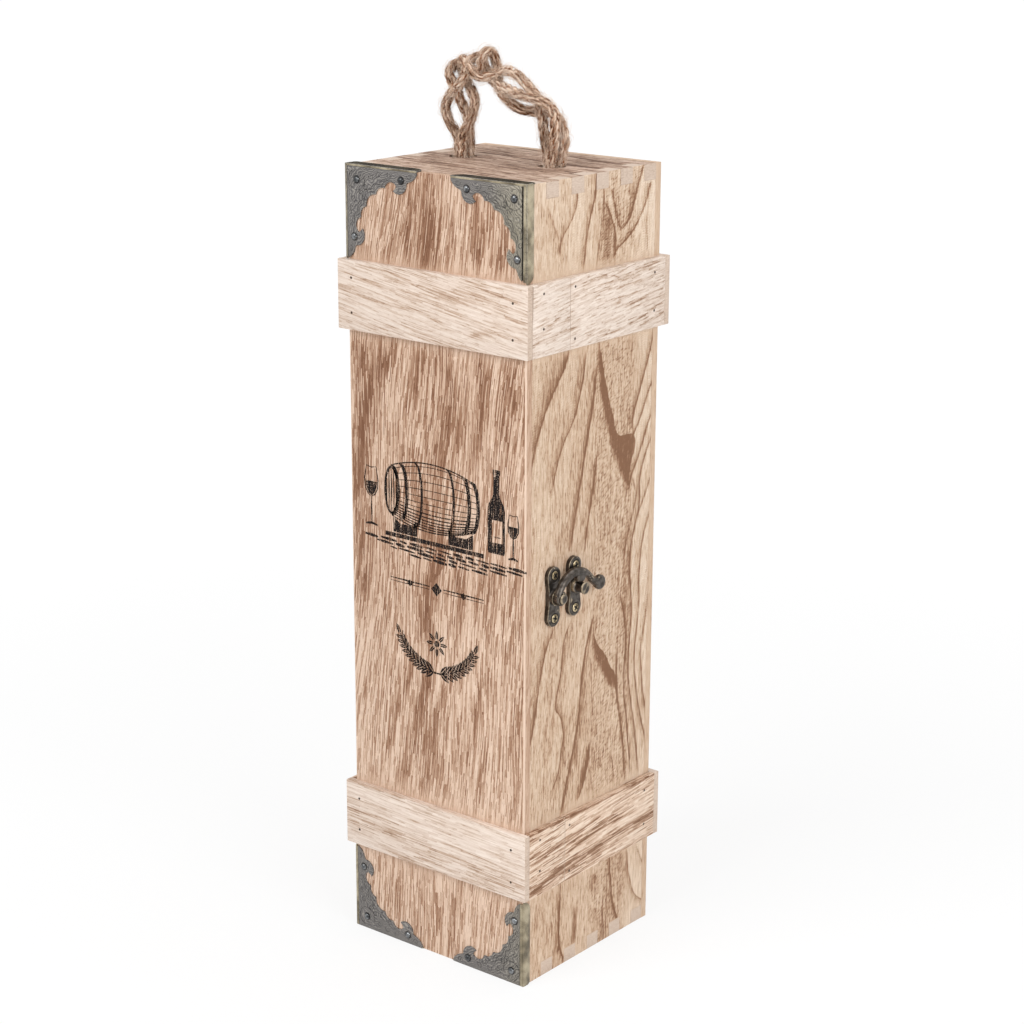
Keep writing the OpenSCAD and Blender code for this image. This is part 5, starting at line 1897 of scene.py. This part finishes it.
@dataclass(frozen=True)
class Rope:
    """Three loosely laid strands of jute yarn and the knots that hold them."""

    diameter: float = 4.4
    plies: int = 3
    yarns: int = 5
    lay: float = 14.0
    knot_z: float = 345.5
    smooth: float = 80

    def _plies(self, shape: Shape, path: Sequence[Vector], width: float, seed: int) -> None:
        """Adds the twisted yarns of each ply of a strand along its path."""
        rng = random.Random(seed)
        rows = carried(path)
        step = (path[1] - path[0]).length
        phase = rng.uniform(0, math.tau)
        for k in range(self.plies):
            sway = [rng.uniform(0, math.tau) for _ in range(3)]
            middle = []
            for i, (spot, side, up) in enumerate(rows):
                turn = phase + math.tau * (k / self.plies + i * step / self.lay)
                away = width * 0.26 * (1 + 0.2 * math.sin(i * step * 0.6 + sway[0]))
                middle.append(spot + side * (away * math.cos(turn)) + up * (away * math.sin(turn)))
            frames = carried(middle)
            for y in range(self.yarns):
                start = math.tau * y / self.yarns + sway[1]
                drift = rng.uniform(0, math.tau)
                out = width * rng.uniform(0.14, 0.175)
                line = []
                for i, (spot, side, up) in enumerate(frames):
                    wave = 0.35 * math.sin(i * step * 0.5 + drift)
                    turn = start - math.tau * i * step / (self.lay * 0.62) + wave
                    away = out * (1 + 0.2 * math.sin(i * step * 0.9 + drift * 2))
                    line.append(spot + side * (away * math.cos(turn)) + up * (away * math.sin(turn))
                                + Vector((rng.gauss(0, 0.035), rng.gauss(0, 0.035), rng.gauss(0, 0.035))))
                shape.tube(line, width * 0.108, 5, YARN_FINISHES[(y + k) % len(YARN_FINISHES)])

    def _hairs(self, shape: Shape, path: Sequence[Vector], kind: Fibres, strand: int) -> None:
        """Adds loose fibres that lie along a strand and stand a little off it."""
        rng = random.Random(kind.seed + strand)
        rows = carried(path)
        step = (path[1] - path[0]).length
        margin = int(5.0 * kind.reach / step) + 1
        for _ in range(kind.count):
            first = rng.randrange(margin, len(rows) - margin)
            way = rng.choice((-1, 1))
            length = rng.uniform(1.2, 5.0) * kind.reach
            lift = rng.uniform(0.05, 1.0) ** 1.7 * kind.rise * kind.reach
            turn, slip = rng.uniform(0, math.tau), rng.uniform(-kind.sway, kind.sway)
            line = []
            for j in range(6):
                t = j / 5
                spot, side, up = rows[first + way * int(length * t / step)]
                angle = turn + slip * t
                out = side * math.cos(angle) + up * math.sin(angle)
                line.append(spot + out * (self.diameter * 0.47 + lift * math.sin(t * 2.0)))
            r = rng.uniform(0.03, 0.062) * kind.thick
            shape.tube(line, lambda share, r=r: r * (1 - 0.6 * share), 3, kind.finish)

    def _knot(self, side: str, x: float) -> bpy.types.Object:
        """Makes the knot under one hole: two wraps round the strands and a frayed tail."""
        shape = Shape()
        y = PLAN.hole_y
        base = self.knot_z - 7.2
        loops = []
        for i in range(49):
            t = math.tau * i / 24
            r = 4.7 + 1.0 * math.cos(t * 1.5)
            rise = 8.6 + 2.6 * math.sin(t * 1.5 + 0.5)
            loops.append((x + r * math.cos(t), y + r * math.sin(t), base + rise))
        self._plies(shape, smooth_path(loops, 0.8), 4.6, 91)
        cross = [(x - 5.5, y - 2, base + 5), (x - 1, y - 5.6, base + 7.5), (x + 4.5, y - 1.5, base + 9.5),
                 (x + 2, y + 5, base + 6.5), (x - 4.5, y + 3.5, base + 6)]
        self._plies(shape, smooth_path(cross, 0.8), 4.4, 92)
        for k in range(3):
            a = math.tau * k / 3
            tail = [(x + 2.2 * math.cos(a), y + 2.2 * math.sin(a), base + 8),
                    (x + 2.0 * math.cos(a), y + 2.0 * math.sin(a), base + 4),
                    (x + 1.5 * math.cos(a + 0.4), y + 1.5 * math.sin(a + 0.4), base + 0.9)]
            self._plies(shape, smooth_path(tail, 0.8), 3.2, 93 + k)
        return shape.piece(f"rope_knot_{side}", "tied", Body.CASE, JUTE, self.smooth)

    def build(self) -> None:
        knots = [self._knot(side, x) for side, x in zip(("left", "right"), PLAN.hole_xs)]
        for k, route in enumerate(STRAND_ROUTES, 1):
            path = smooth_path(route, 0.7)
            length = sum((b - a).length for a, b in zip(path, path[1:]))
            shape = Shape()
            self._plies(shape, path, self.diameter, 10 + k)
            for kind in FIBRES:
                self._hairs(shape, path, kind, k)
            strand = shape.piece(f"rope_strand_{k}", "yarn", Body.CASE, JUTE, self.smooth)
            [tuple(v * MM) for v in path]


# ------------------------------------------------------------------ print


@dataclass(frozen=True)
class Print:
    """The stamped cask and ware, rule and wreath on the front board, in black ink.

    ink: how far it stands proud of the board. line: width of a thin line.
    cask: middle of the cask, with its half length and its end and middle radii.
    """

    ink: float = 0.03
    line: float = 0.5
    cask: tuple[float, float, float, float, float] = (-3.0, 218.0, 23.0, 11.5, 15.5)

    def _blot(self, shape: Shape, outline: Sequence[Point],
              holes: Sequence[Sequence[Point]] = ()) -> None:
        """Adds a filled outline of ink."""
        shape.prism(outline, PLAN.front - self.ink, PLAN.front + 0.01, Axis.Y, holes)

    def _stroke(self, shape: Shape, points: Sequence[Point], width: float) -> None:
        """Adds a line of ink that thins towards its ends."""
        left, right = [], []
        last = len(points) - 1
        for i, (x, z) in enumerate(points):
            (ax, az), (bx, bz) = points[max(i - 1, 0)], points[min(i + 1, last)]
            run = math.hypot(bx - ax, bz - az)
            half = width / 2 * (0.55 if i in (0, last) else 1.0)
            left.append((x - (bz - az) / run * half, z + (bx - ax) / run * half))
            right.append((x + (bz - az) / run * half, z - (bx - ax) / run * half))
        self._blot(shape, left + right[::-1])

    def _cask(self, shape: Shape) -> None:
        """Adds a cask that lies on a cradle."""
        mx, mz, half, end, middle = self.cask

        def at(u: float, v: float) -> Point:
            """A place on the cask's side: along it and up it, each -1 to 1."""
            radius = end + (middle - end) * (1 - u * u)
            return mx + u * half + 4 * math.sqrt(max(0.0, 1 - v * v)), mz + v * radius
        steps = [i / 10 for i in range(-10, 11)]
        for v in (-1, -0.93, -0.86, -0.78, -0.7, -0.6, -0.49, -0.36, -0.2, 0, 0.22, 0.46, 0.7, 0.9, 1):
            weight = 1.2 if v < -0.4 or v > 0.9 else 0.7
            self._stroke(shape, [at(u, v) for u in steps], self.line * weight)
        for u in (-1, -0.78, -0.4, 0.4, 0.78, 1):
            self._stroke(shape, [at(u, v) for v in steps], 2.0 if abs(u) > 0.7 else 1.3)
        head = [(mx - half + 4 * math.cos(t) * 0.92, mz + end * math.sin(t) * 0.92)
                for t in (math.tau * i / 40 for i in range(41))]
        self._stroke(shape, head, 1.2)
        for share in (-0.7, -0.35, 0, 0.35, 0.7):
            reach = 0.85 * math.sqrt(1 - share * share) * end
            self._stroke(shape, [(mx - half + 4 * share, mz + reach * k) for k in (-1, 0, 1)], 0.7)
        for x in (mx - 15, mx + 17):
            self._blot(shape, [(x - 7, 199), (x + 7, 199), (x + 7, 206), (x + 3, 203.4), (x - 3, 203.4),
                               (x - 7, 206)])
        self._blot(shape, [(mx - 27, 196.6), (mx + 30, 196.6), (mx + 30, 198.6), (mx - 27, 198.6)])

    def _ware(self, shape: Shape) -> None:
        """Adds a bottle, two glasses and the shaded ground."""
        half = [(0, 200), (4.3, 200), (4.8, 201), (4.8, 219), (4.2, 222), (2.2, 225), (1.7, 227),
                (1.6, 235), (2, 235.4), (2, 237.4), (0, 237.4)]
        label = [(35.4, 205), (37.4, 205), (37.4, 215), (31.6, 215), (31.6, 205)]
        other = [(34 - x, z) for x, z in half[-2:0:-1]]
        self._blot(shape, [*((34 + x, z) for x, z in half), *other], [label])
        self._stroke(shape, [(32.6, 207.5), (34.5, 207.5), (36.4, 207.5)], self.line)
        for x, z, size in ((-38, 200, 1.0), (43.4, 199, 0.74)):
            bowl = [(-2.9, 27), (-4, 21), (-3.7, 17), (-2, 14), (0, 13),
                    (2, 14), (3.7, 17), (4, 21), (2.9, 27)]
            self._stroke(shape, [(x + a * size, z + b * size) for a, b in bowl], self.line * 1.2)
            self._stroke(shape, [(x - 2.9 * size, z + 27 * size), (x, z + 26.4 * size),
                                 (x + 2.9 * size, z + 27 * size)], self.line)
            fill = [(-3.4, 20), *[(a * 0.82, b * 0.96 + 1) for a, b in bowl[2:7]], (3.4, 20)]
            self._blot(shape, [(x + a * size, z + b * size) for a, b in fill])
            self._stroke(shape, [(x, z + 13 * size), (x, z + 6), (x, z + 1)], 0.9)
            self._stroke(shape, [(x - 3.6 * size, z), (x, z + 0.7), (x + 3.6 * size, z)], 1.3)
        dice = random.Random(5)
        for row, (low, high) in enumerate(((-42, 46), (-35, 42), (-27, 33), (-16, 22))):
            x = low
            while x < high:
                run = dice.uniform(4, 10)
                z = 195.2 - row * 1.7
                dash = [(x, z), (x + run / 2, z - 0.2), (x + run, z - 0.5)]
                self._stroke(shape, dash, dice.uniform(0.8, 1.7))
                x += run + dice.uniform(0.6, 1.8)

    def _leaf(self, shape: Shape, foot: Point, turn: float, length: float) -> None:
        """Adds a pointed leaf with a bare vein."""
        c, s = math.cos(turn), math.sin(turn)
        for side in (1, -1):
            edge = [(0.0, 0.12), (0.25, 0.19), (0.5, 0.2), (0.75, 0.13), (1.0, 0.0),
                    (0.5, 0.025), (0.15, 0.025)]
            points = [(a * length, side * b * length) for a, b in edge]
            self._blot(shape, [(foot[0] + a * c - b * s, foot[1] + a * s + b * c) for a, b in points])

    def _wreath(self, shape: Shape) -> None:
        """Adds two leafy sprigs that cross under a small rosette."""
        for sign in (1, -1):
            stem = [(sign * 26 * math.sin(t * 1.25) - sign * 3, 137.5 + 21 * (1 - math.cos(t * 1.25)))
                    for t in (i / 12 for i in range(13))]
            self._stroke(shape, stem, 0.7)
            for i in range(2, 12):
                (ax, az), (x, z) = stem[i - 1], stem[i]
                course = math.atan2(z - az, x - ax)
                for lean in (0.75, -0.75):
                    self._leaf(shape, (x, z), course + lean, 6.2 - 0.2 * i)
            (ax, az), (x, z) = stem[-2:]
            self._leaf(shape, (x, z), math.atan2(z - az, x - ax), 5)
        self._blot(shape, circle((0, 151.5), 1.5, 16))
        for i in range(8):
            turn = math.tau * i / 8
            self._leaf(shape, (2 * math.cos(turn), 151.5 + 2 * math.sin(turn)), turn, 4.2)

    def build(self) -> None:
        """Makes the print as one piece on the lid."""
        shape = Shape()
        self._cask(shape)
        self._ware(shape)
        for z, width in ((177.6, 0.8), (176.2, 0.45)):
            for low, high in ((-27, -4), (4, 27)):
                self._stroke(shape, [(low, z), ((low + high) / 2, z), (high, z)], width)
        rule_z = 176.9
        for x, size in ((0, 3.1), (-15.5, 1.7), (15.5, 1.7)):
            self._blot(shape, [(x - size, rule_z), (x, rule_z - size), (x + size, rule_z),
                               (x, rule_z + size)])
        self._wreath(shape)
        shape.piece("front", "print", Body.LID, INK)


# ------------------------------------------------------------------ stage

WHITE: Colour = (1.0, 1.0, 1.0)


@dataclass(frozen=True)
class Studio:
    """The camera, the lamps, the world and the pale floor.

    Lengths are in millimetres, but for the lamps: a name, a place and a size in
    metres and a power in watts. sky: strength of the world as a light. glow:
    strength of the floor where it is seen. fade: where the shadow's paper turns
    to plain white. floor_reach: half of the floor's size, in metres.
    """

    azimuth: float = 38.911
    elevation: float = 16.163
    roll: float = 0.206
    distance: float = 1063.25
    target: Triple = (4.689, 0, 202.965)
    focal_px: float = 2354.09
    frame_px: float = 1024
    lamps: tuple[tuple[str, Triple, float, float], ...] = (
        ("key", (-0.3, -1.5, 1.4), 1.2, 21),
        ("side", (1.7, -0.4, 0.9), 1.2, 17),
        ("top", (0.2, 0.4, 1.9), 1.4, 9))
    sky: float = 0.42
    paper: Colour = (0.86, 0.86, 0.86)
    glow: float = 1.02
    fade: Point = (120, 900)
    floor_reach: float = 12.0

    def camera(self) -> None:
        """Sets the camera."""
        a, e = math.radians(self.azimuth), math.radians(self.elevation)
        back = Vector((math.sin(a) * math.cos(e), -math.cos(a) * math.cos(e), math.sin(e)))
        data = bpy.data.cameras.new("camera")
        data.sensor_width = 36.0
        data.lens = data.sensor_width * self.focal_px / self.frame_px
        data.clip_start, data.clip_end = 0.01, 20
        made = bpy.data.objects.new("camera", data)
        bpy.context.scene.collection.objects.link(made)
        turn = (-back).to_track_quat("-Z", "Y").to_matrix().to_4x4()
        roll = Matrix.Rotation(math.radians(self.roll), 4, "Z")
        spot = (Vector(self.target) + back * self.distance) * MM
        made.matrix_world = Matrix.Translation(spot) @ turn @ roll
        bpy.context.scene.camera = made

    def _lamp(self, name: str, place: Triple, size: float, power: float) -> None:
        """Adds one soft square lamp that faces the box."""
        data = bpy.data.lights.new(name, "AREA")
        data.shape, data.size, data.energy = "SQUARE", size, power
        made = bpy.data.objects.new(name, data)
        made.location = place
        made.rotation_euler = (Vector((0, 0, 0.2)) - Vector(place)).to_track_quat("-Z", "Y").to_euler()
        bpy.context.scene.collection.objects.link(made)

    def build(self) -> None:
        """Sets the camera, the light and the floor."""
        self.camera()
        for lamp in self.lamps:
            self._lamp(*lamp)
        self._sky()
        self._floor()

    def _seen(self, tree: Tree) -> Sock:
        """1 where the background is seen straight on or in a gloss, else 0."""
        ray = tree.node("ShaderNodeLightPath", out="Is Camera Ray")
        return ray.most(ray.beside("Is Glossy Ray"))

    def _sky(self) -> None:
        """Makes the world: white where it is seen, and dimmer as a light."""
        bpy.context.scene.world = bpy.data.worlds.new("world")
        tree = Tree(bpy.context.scene.world)
        level = tree.node("ShaderNodeMapRange", {}, {0: self._seen(tree), 3: self.sky, 4: 1.0})
        sky = tree.node("ShaderNodeBackground", {}, {0: WHITE, 1: level})
        tree.node("ShaderNodeOutputWorld", {}, {0: sky})

    def _floor(self) -> None:
        """Makes the floor: pale paper that keeps the shadow and glows white when seen."""
        tree = Tree.material("floor_paper")
        matt = tree.node("ShaderNodeBsdfDiffuse", {}, {0: self.paper})
        glow = tree.node("ShaderNodeEmission", {}, {0: WHITE, 1: self.glow})
        x, y, _ = tree.millimetres()
        far = (x * x + y * y).root().step(*self.fade)
        share = self._seen(tree) * (far * 0.2 + 0.8)
        tree.node("ShaderNodeOutputMaterial", {}, {
            0: tree.node("ShaderNodeMixShader", {}, {0: share, 1: matt, 2: glow})})
        mesh = bpy.data.meshes.new("floor")
        r = self.floor_reach
        mesh.from_pydata([(-r, -r, 0), (r, -r, 0), (r, r, 0), (-r, r, 0)], [], [(0, 1, 2, 3)])
        mesh.materials.append(tree.owner)
        floor = bpy.data.objects.new("floor", mesh)
        bpy.context.scene.collection.objects.link(floor)


def main() -> None:
    """Builds the box's pieces in order."""
    logging.basicConfig(level=logging.INFO)
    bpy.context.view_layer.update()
    bpy.context.scene.view_settings.view_transform = "Standard"
    Studio().build()
    Rope().build()
    Carcass().build()
    Brads().build()
    BRACKETS.build()
    Latch().build()
    Hinges().build()
    Print().build()


if __name__ == "__main__":
    main()
